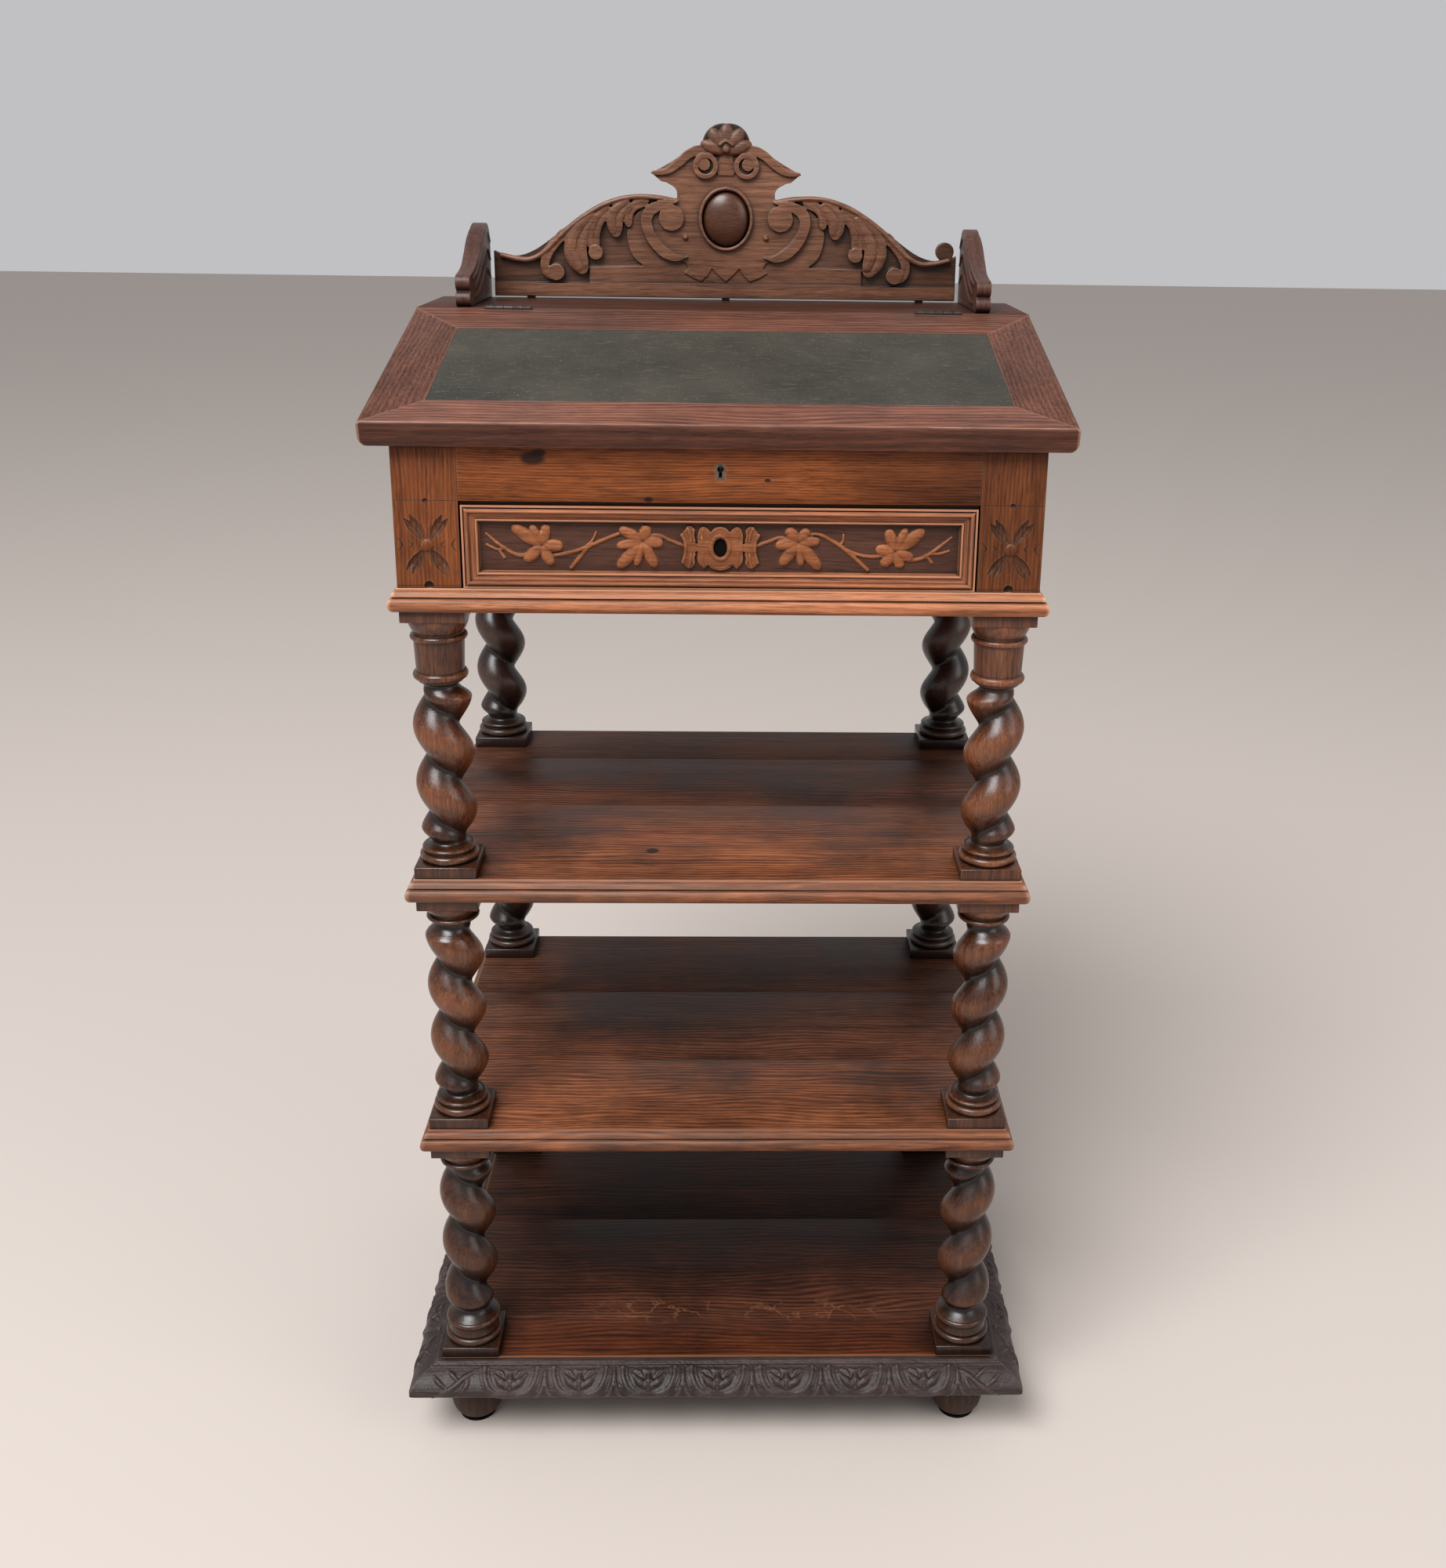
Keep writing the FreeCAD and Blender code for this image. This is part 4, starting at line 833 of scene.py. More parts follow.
shelfShape = {
    "gap": 0.5,          # open seam between planks
    "ease": (0.35, 50),  # bevel of the nosing, on arrises sharper than so many degrees
    # reach beyond the board and height over the underside, as shares of the reach and the thickness
    "nosing": ((0.40, 0.0), (0.66, 0.04), (0.88, 0.14), (0.99, 0.28), (1.0, 0.40), (0.92, 0.50),
               (0.74, 0.57), (0.46, 0.59), (0.46, 0.64), (0.62, 0.66), (0.60, 0.74), (0.46, 0.85),
               (0.24, 0.91), (0.12, 0.92), (0.12, 1.0)),
    # y of the seams, and the finish of the front plank
    "planks": {"lower_shelf": ((-68, 90), lowShelfOak), "upper_shelf": ((-9, 140), shelfOak),
               "case_floor": ((), mouldingOak)},
    "baseSeams": (-145, 38),
    "baseEase": 0.6,
}


def mouldedPlank(name, half, front, back, under, thick, moulded):
    # drawn up from the underside, one step of the nosing at a time
    deselectAll()
    deep = back - front
    steps = [(out * nosingReach, up * thick) for out, up in shelfShape["nosing"]]
    first = steps[0][0]
    forward = first if moulded else 0
    bpy.ops.mesh.primitive_plane_add(size=1, location=(0, (back + front - forward) / 2 * mm, under * mm))
    plank = bpy.context.object
    plank.name = name
    plank.scale = (2 * (half + first) * mm, (deep + forward) * mm, 1)
    editAll(applyPlace(plank))
    for (lastOut, lastUp), (out, up) in zip(steps, steps[1:]):
        bpy.ops.mesh.extrude_region_move(TRANSFORM_OT_translate={"value": (0, 0, (up - lastUp) * mm)})
        deeper = (deep + out) / (deep + lastOut) if moulded else 1
        bpy.ops.transform.resize(value=((half + out) / (half + lastOut), deeper, 1),
                                 center_override=(0, back * mm, 0))
    setMode("OBJECT")
    return easeEdges(closeUp(plank), *shelfShape["ease"])


for node, (seams, finish) in shelfShape["planks"].items():
    low, high = boxMm(node)
    edges = [low.y + nosingReach, *seams, high.y]
    planks = []
    for number, (start, end) in enumerate(zip(edges, edges[1:])):
        stop = end if number == len(seams) else end - shelfShape["gap"]
        planks.append(mouldedPlank(f"{node} plank {number}", high.x - nosingReach, start, stop, low.z,
                                   high.z - low.z, number == 0))
    shelf = seat(joinAll(planks, node + "_planks"), "desk", "shelf_oak", finish, node)
    if seams:
        paintFaces(shelf, shelfBackOak, lambda spot, facing: spot.y > seams[0] - 0.1)
baseLow, baseHigh = boxMm("base_board")
edges = [baseLow.y, *shelfShape["baseSeams"], baseHigh.y]
basePlanks = []
for start, end in zip(edges, edges[1:]):
    basePlanks.append(block("base plank", (baseLow.x, start, baseLow.z),
                            (baseHigh.x, end - shelfShape["gap"], baseHigh.z), shelfShape["baseEase"]))
base = seat(joinAll(basePlanks, "base_planks"), "desk", "shelf_oak", baseOak, "base_board")
paintFaces(base, baseBackOak, lambda spot, facing: spot.y > edges[1] - 0.1)
print("shelves planked")


# base skirts with their run of lunettes

skirtShape = {
    "front": (-228, -152, -76, 0, 76, 152, 228),
    "side": (-128, -52, 24, 100, 176),
    "arcCentre": (3.6, -5.9),    # of the rounded face, out and up from the base board's lower edge
    "arcRadius": 34,
    "arcTurn": (86, 32),
    "arcShare": 0.72,            # part of the face that is rounded
    "upright": (32.5, 12, 8),    # the part under it: how far out, where it starts and how tall
    "sink": 0.30,                # share of each stroke that lies under the face
    "lip": ((0.03, 1.9), (0.105, 1.0)),    # beads along the top: how far down, and radius
    "lipSink": 0.4,
    "below": 0.14,               # where the carving starts under the lip
    "carve": (0.85, 1, 0.4),     # voxel in mm, rounds of smoothing, share of triangles kept
}
# one lunette: across, and down the face from the lip (0) to the lower edge (1)
lunette = (
    (((-33, 0.03), (-31.5, 0.36), (-23, 0.74), (0, 0.99), (23, 0.74), (31.5, 0.36), (33, 0.03)), (1.5,) * 7),
    (((-29, 0.03), (-27.5, 0.33), (-19.5, 0.66), (0, 0.87), (19.5, 0.66), (27.5, 0.33), (29, 0.03)),
     (3.3,) * 7),
    (((-24.5, 0.03), (-23, 0.30), (-16, 0.58), (0, 0.75), (16, 0.58), (23, 0.30), (24.5, 0.03)), (1.3,) * 7),
    (((-17, 0.24), (-10, 0.42), (-4, 0.52)), (2.6, 5.0, 4.0)),
    (((17, 0.24), (10, 0.42), (4, 0.52)), (2.6, 5.0, 4.0)),
    (((0, 0.20), (0, 0.40), (0, 0.58)), (3.0, 5.6, 3.6)),
    (((-15, 0.10), (-10, 0.17), (-7, 0.27)), (1.6, 2.4, 1.6)),
    (((15, 0.10), (10, 0.17), (7, 0.27)), (1.6, 2.4, 1.6)),
    (((-6, 0.09), (0, 0.14), (6, 0.09)), (1.4, 2.0, 1.4)),
    (((38, 0.02), (38, 0.24), (38, 0.50)), (2.0, 3.4, 4.2)),
    (((37, 0.48), (33.5, 0.72), (27, 0.97)), (3.6, 3.0, 1.8)),
    (((39, 0.48), (42.5, 0.72), (49, 0.97)), (3.6, 3.0, 1.8)),
)
# leaf towards a corner, from the last lunette outwards
cornerLeaf = (
    (((38, 0.10), (50, 0.30), (66, 0.62), (84, 0.95)), (2.0, 3.4, 3.4, 2.0)),
    (((46, 0.22), (48, 0.52), (58, 0.92)), (1.8, 3.0, 1.8)),
    (((56, 0.40), (64, 0.22), (70, 0.08)), (1.8, 2.8, 1.6)),
    (((68, 0.62), (78, 0.42), (84, 0.26)), (1.8, 2.8, 1.6)),
)


def skirtSpot(down, sunk):
    # out from the base board and up from its lower edge
    shape = skirtShape
    share = shape["arcShare"]
    if down > share:
        out, top, tall = shape["upright"]
        return out - sunk, top - (down - share) / (1 - share) * tall
    first, last = shape["arcTurn"]
    turn = math.radians(first + (last - first) * down / share)
    return (shape["arcCentre"][0] + (shape["arcRadius"] - sunk) * math.cos(turn),
            shape["arcCentre"][1] + (shape["arcRadius"] - sunk) * math.sin(turn))


def onFront(along, down, sunk=0):
    out, up = skirtSpot(down, sunk)
    return along * mm, (baseLow.y - out) * mm, (baseLow.z + up) * mm


def onLeft(along, down, sunk=0):
    out, up = skirtSpot(down, sunk)
    return (baseLow.x - out) * mm, along * mm, (baseLow.z + up) * mm


def skirtStrokes(drawing, centre, side, place):
    below = skirtShape["below"]
    made = []
    for path, widths in drawing:
        sunk = skirtShape["sink"] * max(widths)
        made += stroke([(centre + side * u, below + (1 - below) * v) for u, v in path], widths,
                       lambda u, v: place(u, v, sunk))
    return made


def carvedSkirt(node, name, centres, place, leafSides, reach):
    # one lunette is carved, then stepped along the run under the lip
    first = joinAll(skirtStrokes(lunette, centres[0], 1, place), "first lunette")
    along = Vector(place(1, 0)) - Vector(place(0, 0))
    run = [copyNode(node, name), first]
    for centre in centres[1:]:
        twin = copyOf(first, "next lunette")
        twin.location = along * (centre - centres[0])
        run.append(applyPlace(twin))
    for side in leafSides:
        run += skirtStrokes(cornerLeaf, centres[0] if side < 0 else centres[-1], side, place)
    for down, thick in skirtShape["lip"]:
        out = skirtSpot(down, 0)[0]
        path = [(reach[0] - out, down), (reach[1] + out * (len(leafSides) - 1), down)]
        run += stroke(path, (thick, thick), lambda u, v: place(u, v, skirtShape["lipSink"] * thick))
    return carveTogether(joinAll(run, name), *skirtShape["carve"])


carvedFront = carvedSkirt("skirt_front", "carved_front_skirt", skirtShape["front"], onFront, (-1, 1),
                          (baseLow.x, baseHigh.x))
carvedLeft = carvedSkirt("skirt_left", "carved_left_skirt", skirtShape["side"], onLeft, (-1,),
                         (baseLow.y, baseHigh.y))
carvedRight = flipAcross(copyOf(carvedLeft, "carved_right_skirt"))
for skirt, node in ((carvedFront, "skirt_front"), (carvedLeft, "skirt_left"), (carvedRight, "skirt_right")):
    seat(skirt, "desk", "skirt_oak", skirtOak, node)
print("skirts carved")


# case: carved stiles, plain rail and sides

stileShape = {
    "centre": 1020,
    "sink": 0.8,                              # how far the cuts are pressed flat
    "arms": ((18, 27), (-18, 27), (18, -27), (-18, -27)),    # tips of the rosette's leaves
    "spread": (-0.10, 0.10),                  # turn of the two cuts of a leaf
    "along": (0.26, 0.5, 0.74, 0.98),         # shares of the way to the tip, and the widths there
    "widths": (1.6, 3.5, 3.6, 0.9),
    "vein": (((2.4, 8), (3.2, 14), (5.4, 21)), (0.6, 1.1, 0.5)),
    "ends": ((-39.5, 4.6), (42, 2.4)),        # lines across, and the notch in their middle
    "endLine": (29, 0.5),
    "ticks": ((((27, -6), (23.22, 0), (27, 6)), (0.5, 1.1, 0.5)),
              (((16.74, -3.5), (13.5, 0), (16.74, 3.5)), (0.5, 1.0, 0.5))),
    "boss": (6.2, 0.5),                       # radius, and how far it is pressed flat
    "ease": 0.6,
    "carve": (0.4, 1, 1),
}
# bevel of plain boards in mm, on arrises that are sharper than so many degrees
boardEase = {"rail": (0.4, 60), "lid": (0.5, 60), "strip": (0.8, 60)}


def carvedStile(node, name):
    low, high = boxMm(node)
    middle, face = (low.x + high.x) / 2, low.y
    shape = stileShape

    def onFace(u, v):
        return (middle + u) * mm, face * mm, (shape["centre"] + v) * mm

    cuts = []
    for u, v in shape["arms"]:
        for spread in shape["spread"]:
            tip = (u * math.cos(spread) - v * math.sin(spread), u * math.sin(spread) + v * math.cos(spread))
            path = [(share * tip[0], share * tip[1]) for share in shape["along"]]
            cuts += stroke(path, shape["widths"], onFace)
    path, widths = shape["vein"]
    for up in (-1, 1):
        for side in (-1, 1):
            cuts += stroke([(side * u, up * v) for u, v in path], widths, onFace)
    half, thick = shape["endLine"]
    for end, notch in shape["ends"]:
        cuts.append(ball((0, end), notch, onFace))
        cuts += stroke([(-half, end), (0, end), (half, end)], (thick,) * 3, onFace)
    for side in (-1, 1):
        for path, widths in shape["ticks"]:
            cuts += stroke(onSide(path, side), widths, onFace)
    cutter = carveTogether(press(joinAll(cuts, "stile cuts"), shape["sink"], face), *shape["carve"])
    stile = cutAway(easeEdges(copyNode(node, name), shape["ease"]), cutter)
    bpy.data.objects.remove(cutter)
    radius, flat = shape["boss"]
    boss = press(joinAll([ball((0, 0), radius, onFace)], "stile boss"), flat, face)
    return joinAll([stile, boss], name)


for hand in ("left", "right"):
    node = f"stile_{hand}"
    stile = seat(carvedStile(node, f"carved_{hand}_stile"), "desk", "case_oak", stileOak, node, sharp=30)
    face = boxMm(node)[0].y
    # the faces inside the cuts take the darker copy, painted shade
    paintFaces(stile, stileCutOak, lambda spot, facing: face + 0.25 < spot.y < face + 6 and facing.y < -0.05)
rail = easeEdges(copyNode("front_rail", "drawer_rail"), *boardEase["rail"])
seat(rail, "desk", "case_oak", railOak, "front_rail")
paintNode(sideOak, "side_left", "side_right")
paintNode(innerOak, "case_back", "well_floor", "guide_left", "guide_right", "drawer_side_left",
          "drawer_side_right", "drawer_back", "drawer_bottom")
paintNode(agedBrass, "lid_escutcheon")
paintNode(lockSteel, "lid_lock", "drawer_lock", "lid_bolt", "drawer_bolt", "lid_staple")
paintNode(darkIron, "hinge_fixed_leaves", "hinge_lid_leaves", "hinge_pins")
print("case built")


# drawer front: moulded frame and carved vine

frameShape = {
    # inset and rise of each step, mm, from the outer edge inwards
    "steps": ((1.8, 0.0), (0.4, -1.6), (0.7, 0.0), (0.3, 2.6), (0.9, 1.1), (1.1, 0.6), (1.1, -0.4),
              (0.9, -1.2), (0.3, -1.2), (1.7, 0.0), (1.0, -0.9), (1.3, -0.5), (1.4, 0.0), (0.4, 1.2),
              (1.0, 0.2), (0.9, -0.9), (0.8, -3.6), (0.3, -1.6)),
    "sill": 3.0,             # depth of the outer edge behind the front
    "slits": (0.8, 2.4),     # dark gaps left at the drawer's ends and over it
}
vineShape = {
    "flat": 0.85,            # how far the carving is pressed flat
    "proud": 0.4,            # how far the middles of stems and leaves stand before the ground
    "plump": 4.2,            # half thickness of a leaf lobe
    "tip": (0.86, 0.94),     # width and thickness of a lobe's outer half, as shares
    "ridges": 2.2,           # how far the straps' ridges and the straps stand out
    "inner": 2.4,
    "outer": 2.0,
    "root": 0.4,             # how deep the straps are let in
    "carve": (0.42, 1, 0.4),
}
keyhole = {"middle": 1018.5, "ring": (8.6, 11.2), "thick": 2.3, "proud": 2.0, "opening": (7, 9.5),
           "shade": (7.2, 9.6, 0.5), "shadeProud": 0.15}
vineStems = (
    (((-220, 1030), (-204.5, 1017), (-188, 1009.5), (-172, 1016)), (1.3, 1.8, 2.1, 2.4)),
    (((-220, 1019.5), (-209, 1015), (-203, 1016.5)), (1.3, 1.7, 1.7)),
    (((-209, 1015), (-204, 1007.5)), (1.5, 1.7)),
    (((-156, 1010), (-140, 1013), (-126, 1018), (-114, 1023.5), (-96, 1031)), (2.1, 2.0, 2.1, 1.9, 1.8)),
    (((-127, 1018), (-121, 1024), (-117, 1032.5)), (1.8, 1.5, 1.0)),
    (((-125, 1018), (-133, 1008), (-141, 998)), (2.0, 2.1, 2.0)),
    (((-70, 1028), (-60, 1030), (-47, 1025), (-34, 1020)), (2.0, 1.9, 1.8, 1.8)),
    (((34, 1020.5), (45, 1024.5), (58, 1028.5), (68, 1025)), (1.8, 1.8, 1.9, 2.0)),
    (((78, 1031), (92, 1032), (104, 1027), (113, 1021.5), (124, 1013), (140, 998)),
     (1.5, 1.7, 2.0, 2.2, 2.2, 2.1)),
    (((113, 1021.5), (116, 1026), (116.5, 1032)), (1.7, 1.5, 1.0)),
    (((118, 1018), (130, 1013), (144, 1011), (158, 1013)), (1.8, 1.9, 2.0, 2.2)),
    (((170, 1009), (184, 1008), (196, 1012), (208, 1021), (219, 1030)), (2.0, 2.1, 2.1, 1.8, 1.2)),
    (((200, 1014), (209, 1014.5), (217, 1017)), (1.6, 1.6, 1.2)),
    (((196, 1012), (201, 1006)), (1.7, 1.6)),
)
# leaves: heart of the sprig, then the tip of each lobe and its half width
vineLeaves = (
    ((-168, 1019), ((-196, 1038, 6.6), (-178, 1039, 5.0), (-163, 1040, 5.6), (-148, 1019, 6.4),
                    (-159, 1000, 5.8), (-185, 1004, 5.8))),
    ((-73, 1024), ((-95, 1037, 5.8), (-69, 1040, 6.2), (-53.5, 1023, 5.8), (-98, 1019, 5.2), (-97, 998, 6.2),
                   (-80, 1000, 4.4), (-61, 998.5, 5.8))),
    ((74, 1024), ((63, 1038, 6.0), (83, 1037.5, 5.4), (52, 1021, 6.0), (94.5, 1026, 5.2), (95, 998, 6.4),
                  (77, 1001, 4.4), (57, 1001.5, 5.8))),
    ((166, 1016), ((158.5, 1038, 5.8), (193, 1038, 6.6), (176, 1039, 4.8), (147, 1018, 6.0),
                   (183.5, 1009, 5.6), (172, 1000, 5.6), (153.5, 1002, 5.8))),
)
# right-hand straps round the keyhole
strapOuter = ((23.6, 1035), (28, 1039, 1), (31.7, 1038.7), (34, 1034.5, 1), (37.5, 1031), (35, 1025, 1),
              (34.2, 1018, 1), (34.8, 1011, 1), (36.6, 1004), (33.5, 1001, 1), (30, 997.6), (26, 1000, 1),
              (23.4, 1005), (24.6, 1011, 1), (23.2, 1014.5), (21, 1015), (21, 1022), (23.2, 1022.5),
              (24.8, 1028, 1))
strapInner = ((0, 1039), (5, 1037.6, 1), (9, 1033.5), (12.6, 1037, 1), (16.5, 1038.6, 1), (19.6, 1036.5),
              (21.4, 1030, 1), (20.6, 1018, 1), (21.4, 1006, 1), (19.4, 1002), (15.6, 998), (11.5, 1002),
              (8, 998.6, 1), (0, 996))
# raised edges on the straps, with their thickness
strapRidges = (
    (((36.2, 1030.5), (33.4, 1024.5), (32.7, 1018), (33.3, 1011.5), (35.3, 1004.5)), 1.6),
    (((30.6, 1036.6), (28.2, 1030.5), (27.6, 1025)), 1.5), (((29.6, 1000), (28.2, 1006), (27.8, 1011)), 1.5),
    (((25.2, 1035.6), (25.4, 1030), (24.4, 1025)), 1.2), (((25, 1003), (25.4, 1008), (24.4, 1012)), 1.2),
    (((16.2, 1036), (17.2, 1030), (16.4, 1024)), 1.4), (((15.6, 1001), (16.8, 1007), (16.4, 1013)), 1.4),
    (((0, 1037.2), (5, 1035.8), (8, 1032.6)), 1.3), (((0, 998.4), (6, 1000.4), (9.4, 1003.4)), 1.3),
)


def selectFacing(piece, chosen):
    setMode("OBJECT")
    for face in piece.data.polygons:
        face.select = chosen(face.normal)
    setMode("EDIT")


def drawerFrame():
    low, high = boxMm("drawer_moulding")
    aside, over = frameShape["slits"]
    moulding = block("drawer_frame", (low.x + aside, low.y + frameShape["sill"], low.z),
                     (high.x - aside, high.y, high.z - over), 0)
    editAll(moulding)
    bpy.ops.mesh.select_mode(type="FACE")
    bpy.ops.mesh.select_all(action="DESELECT")
    selectFacing(moulding, lambda facing: facing.y < -0.9)
    for wide, rise in frameShape["steps"]:
        bpy.ops.mesh.inset(thickness=wide * mm, depth=rise * mm)
    bpy.ops.mesh.delete(type="FACE")
    selectFacing(moulding, lambda facing: facing.y > 0.9)
    bpy.ops.mesh.inset(thickness=sum(wide for wide, rise in frameShape["steps"]) * mm, depth=0)
    bpy.ops.mesh.delete(type="FACE")
    bpy.ops.mesh.select_mode(type="EDGE")
    bpy.ops.mesh.select_all(action="DESELECT")
    bpy.ops.mesh.select_non_manifold()
    bpy.ops.mesh.bridge_edge_loops()
    bpy.ops.mesh.select_all(action="SELECT")
    bpy.ops.mesh.normals_make_consistent(inside=False)
    setMode("OBJECT")
    return moulding


def drawerVine():
    face = boxMm("drawer_front")[0].y
    shape = vineShape
    onPanel = atDepth(face - shape["proud"])
    pieces = []
    for path, widths in vineStems:
        pieces += stroke(path, widths, onPanel)
    wider, thicker = shape["tip"]
    for heart, lobes in vineLeaves:
        for x, z, wide in lobes:
            middle = [(a + b) / 2 for a, b in zip(heart, (x, z))]
            pieces.append(petal(heart, (x, z), wide, shape["plump"], onPanel))
            pieces.append(petal(middle, (x, z), wide * wider, shape["plump"] * thicker, onPanel))
    ring = ringPath(*keyhole["ring"], keyhole["middle"], 12)
    pieces += stroke(ring, (keyhole["thick"],) * len(ring), atDepth(face - keyhole["proud"]))
    for side in (-1, 1):
        for path, thick in strapRidges:
            pieces += stroke(path, (thick,) * len(path), atDepth(face - shape["ridges"], side))
    vine = press(joinAll(pieces, "drawer_vine"), shape["flat"], face)
    back = face + shape["root"]
    plates = [vine, plate("strap inner", mirrored(strapInner), face - shape["inner"], back,
                          oval(*keyhole["opening"], 0, keyhole["middle"]))]
    for side in (-1, 1):
        plates.append(plate("strap outer", onSide(strapOuter, side), face - shape["outer"], back))
    return carveTogether(joinAll(plates, "drawer_vine"), *shape["carve"])


def keyShade():
    # painted shade: a near-black oval standing in for the shadowed keyhole behind the strapwork
    spot = atDepth(boxMm("drawer_front")[0].y - keyhole["shadeProud"])(0, keyhole["middle"])
    deselectAll()
    bpy.ops.mesh.primitive_cylinder_add(vertices=40, radius=1, depth=1, location=spot,
                                        rotation=(math.pi / 2, 0, 0),
                                        scale=[size * mm for size in keyhole["shade"]])
    shade = applyPlace(bpy.context.object)
    shade.name = "drawer_key_shade"
    return shade


moulding = seat(drawerFrame(), "drawer", "case_oak", frameOak, "drawer_moulding", sharp=30)
low, high = boxMm("drawer_moulding")
paintFaces(moulding, frameEndOak,
           lambda spot, facing: high.x - abs(spot.x) < min(spot.z - low.z, high.z - spot.z))
seat(drawerVine(), "drawer", "case_oak", leafOak, sharp=60)
seat(keyShade(), "drawer", "case_oak", pad)
paintNode(drawerGround, "drawer_front")
print("drawer carved")


# lid and top strip

# rounding under the ends: radius, slope of the lid, its half width and a point (y, z) of its underside;
# the waste strip's length, and how far up the slope its middle lies
lidEnd = {"round": 10.5, "slope": 14.342, "half": 330.5, "under": (-216.3, 1114.4), "length": 420,
          "middle": 150}


def endCutter(side):
    # the waste under one end of the lid: a square strip less the round that stays
    radius, length = lidEnd["round"] * mm, lidEnd["length"] * mm
    reach = radius + 1 * mm
    slope = math.radians(lidEnd["slope"])
    along = Vector((0, math.cos(slope), math.sin(slope)))
    up = Vector((0, -math.sin(slope), math.cos(slope)))
    out = Vector((side, 0, 0))
    edge = Vector((side * lidEnd["half"], *lidEnd["under"])) * mm
    axis = edge + radius * (up - out) + along * lidEnd["middle"] * mm
    deselectAll()
    bpy.ops.mesh.primitive_cube_add(size=1, location=axis + reach / 2 * (out - up), rotation=(slope, 0, 0),
                                    scale=(reach, length, reach))
    waste = applyPlace(bpy.context.object)
    deselectAll()
    bpy.ops.mesh.primitive_cylinder_add(vertices=96, radius=radius, depth=length * 1.1, location=axis,
                                        rotation=(slope - math.pi / 2, 0, 0))
    bar = applyPlace(bpy.context.object)
    cutAway(waste, bar)
    bpy.data.objects.remove(bar)
    return waste


endCutters = [endCutter(side) for side in (-1, 1)]
for node, finish in (("lid_rail_back", backRailOak), ("lid_rail_front", lidOak),
                     ("lid_stile_left", lidEndOak), ("lid_stile_right", lidEndOak)):
    member = copyNode(node, "framed_" + node)
    for cutter in endCutters:
        cutAway(member, cutter)
    seat(easeEdges(member, *boardEase["lid"]), "lid", "lid_oak", finish, node, sharp=30)
    # faces that look forward and up take painted highlight; faces that look forward or aside take painted
    # shade
    paintFaces(member, lidArrisOak, lambda spot, facing: facing.y < -0.33 and facing.z > 0.3)
    paintFaces(member, lidEdgeOak, lambda spot, facing: facing.y < -0.80 or abs(facing.x) > 0.3)
for cutter in endCutters:
    bpy.data.objects.remove(cutter)
paintNode(innerOak, "lid_panel")
paintNode(leather, "lid_leather")
strip = easeEdges(copyNode("top_strip", "top_strip_board"), *boardEase["strip"])
seat(strip, "desk", "lid_oak", stripOak, "top_strip", sharp=30)
print("lid dressed")


# gallery: sawn ground, raised plates and carved leaves

# depths are behind the foremost face of the board
galleryShape = {
    "ground": 9.0,
    "bed": 8.0,          # back of the broad plates
    "field": 4.2,
    "band": 5.8,
    "rail": 0.4,
    "scroll": 0.4,
    "crest": 1.2,
    "neck": 2.6,
    "opening": (27.5, 31.5),
    "backs": (0.5, 0.36),    # of leaf bands: sunk under the band's face, and how far pressed flat
    "rims": (5, 1.1, 6),     # depth, stretch and the depth it is stretched about
    "carve": (0.65, 2, 0.30),
}
# right-hand half, x and z in mm
galleryField = ((0, 1236), (9, 1244), (16, 1251.5), (21, 1243), (28, 1236.5), (38, 1240), (48, 1246),
                (43, 1251), (46, 1257), (56, 1260), (72, 1264, 1), (88, 1276, 1), (94, 1294, 1),
                (88, 1312, 1), (70, 1322, 1), (56, 1329), (57, 1338, 1), (68, 1346), (74, 1347), (85, 1356),
                (60, 1370, 1), (40, 1382, 1), (24, 1385, 1), (0, 1376))
galleryBand = ((0, 1221), (262, 1221), (262, 1231.5), (158, 1231.5), (158, 1252), (95, 1253), (106, 1262, 1),
               (112, 1276, 1), (113, 1294, 1), (102, 1312, 1), (86, 1322), (0, 1322))
galleryRail = ((0, 1217.6), (267, 1217.6), (267, 1232.5), (0, 1232.5))
cScroll = ((54, 1325), (77, 1325.4, 1), (92, 1318, 1), (97, 1304.6, 1), (94, 1289.6, 1), (84, 1272.7, 1),
           (70, 1261.5, 1), (56.5, 1258.8, 1), (43, 1264), (54.5, 1265.5, 1), (64, 1271, 1), (76, 1282, 1),
           (83.5, 1295.4, 1), (83.4, 1308.5, 1), (76.6, 1314), (70, 1318, 1))
# bands of the leaf along each shoulder: middle line, half widths and depth
galleryLeaves = (
    (((90, 1327), (108, 1316), (112, 1304), (111.8, 1300)), (3.5, 5.0, 4.6, 4.2), 3.2),
    (((112, 1323), (125, 1311), (127.5, 1299), (126.5, 1292)), (6.0, 9.0, 9.2, 7.6), 2.4),
    (((134, 1317), (147.5, 1302), (152, 1287), (152.5, 1273)), (5.0, 7.6, 7.2, 6.0), 3.2),
    (((152, 1309), (166, 1292), (173, 1274), (171, 1260), (167, 1252)), (4.0, 10.4, 13.0, 12.0, 9.4), 2.2),
    (((182, 1291), (195, 1279), (206, 1264), (208.5, 1250), (203, 1241)), (3.5, 5.4, 5.6, 5.2, 4.8), 3.2),
)
# round eyes, with their radius and depth
galleryEyes = ((196, 1245, 9.6, 2.4), (150, 1267.5, 8.2, 2.0), (62.5, 1307, 14.4, 0.4))
galleryPin = {"spot": (46.4, 1285.5), "radius": 3.0, "depth": 3.8}
galleryRim = (((56, 1326), (77, 1328.5), (104, 1329.5), (133, 1323), (158.5, 1310), (184, 1291), (204, 1272),
               (215, 1263.5), (227, 1258.8), (239, 1259), (258, 1263)),
              (2.4, 3.0, 3.2, 3.4, 3.4, 3.4, 3.4, 3.2, 3.2, 3.4, 3.0))
earBand = (((85, 1356.5), (69, 1357.6), (55, 1366.2), (42, 1377), (30, 1381), (22, 1378)),
           (0.8, 3.4, 4.6, 5.2, 5.6, 5.0))
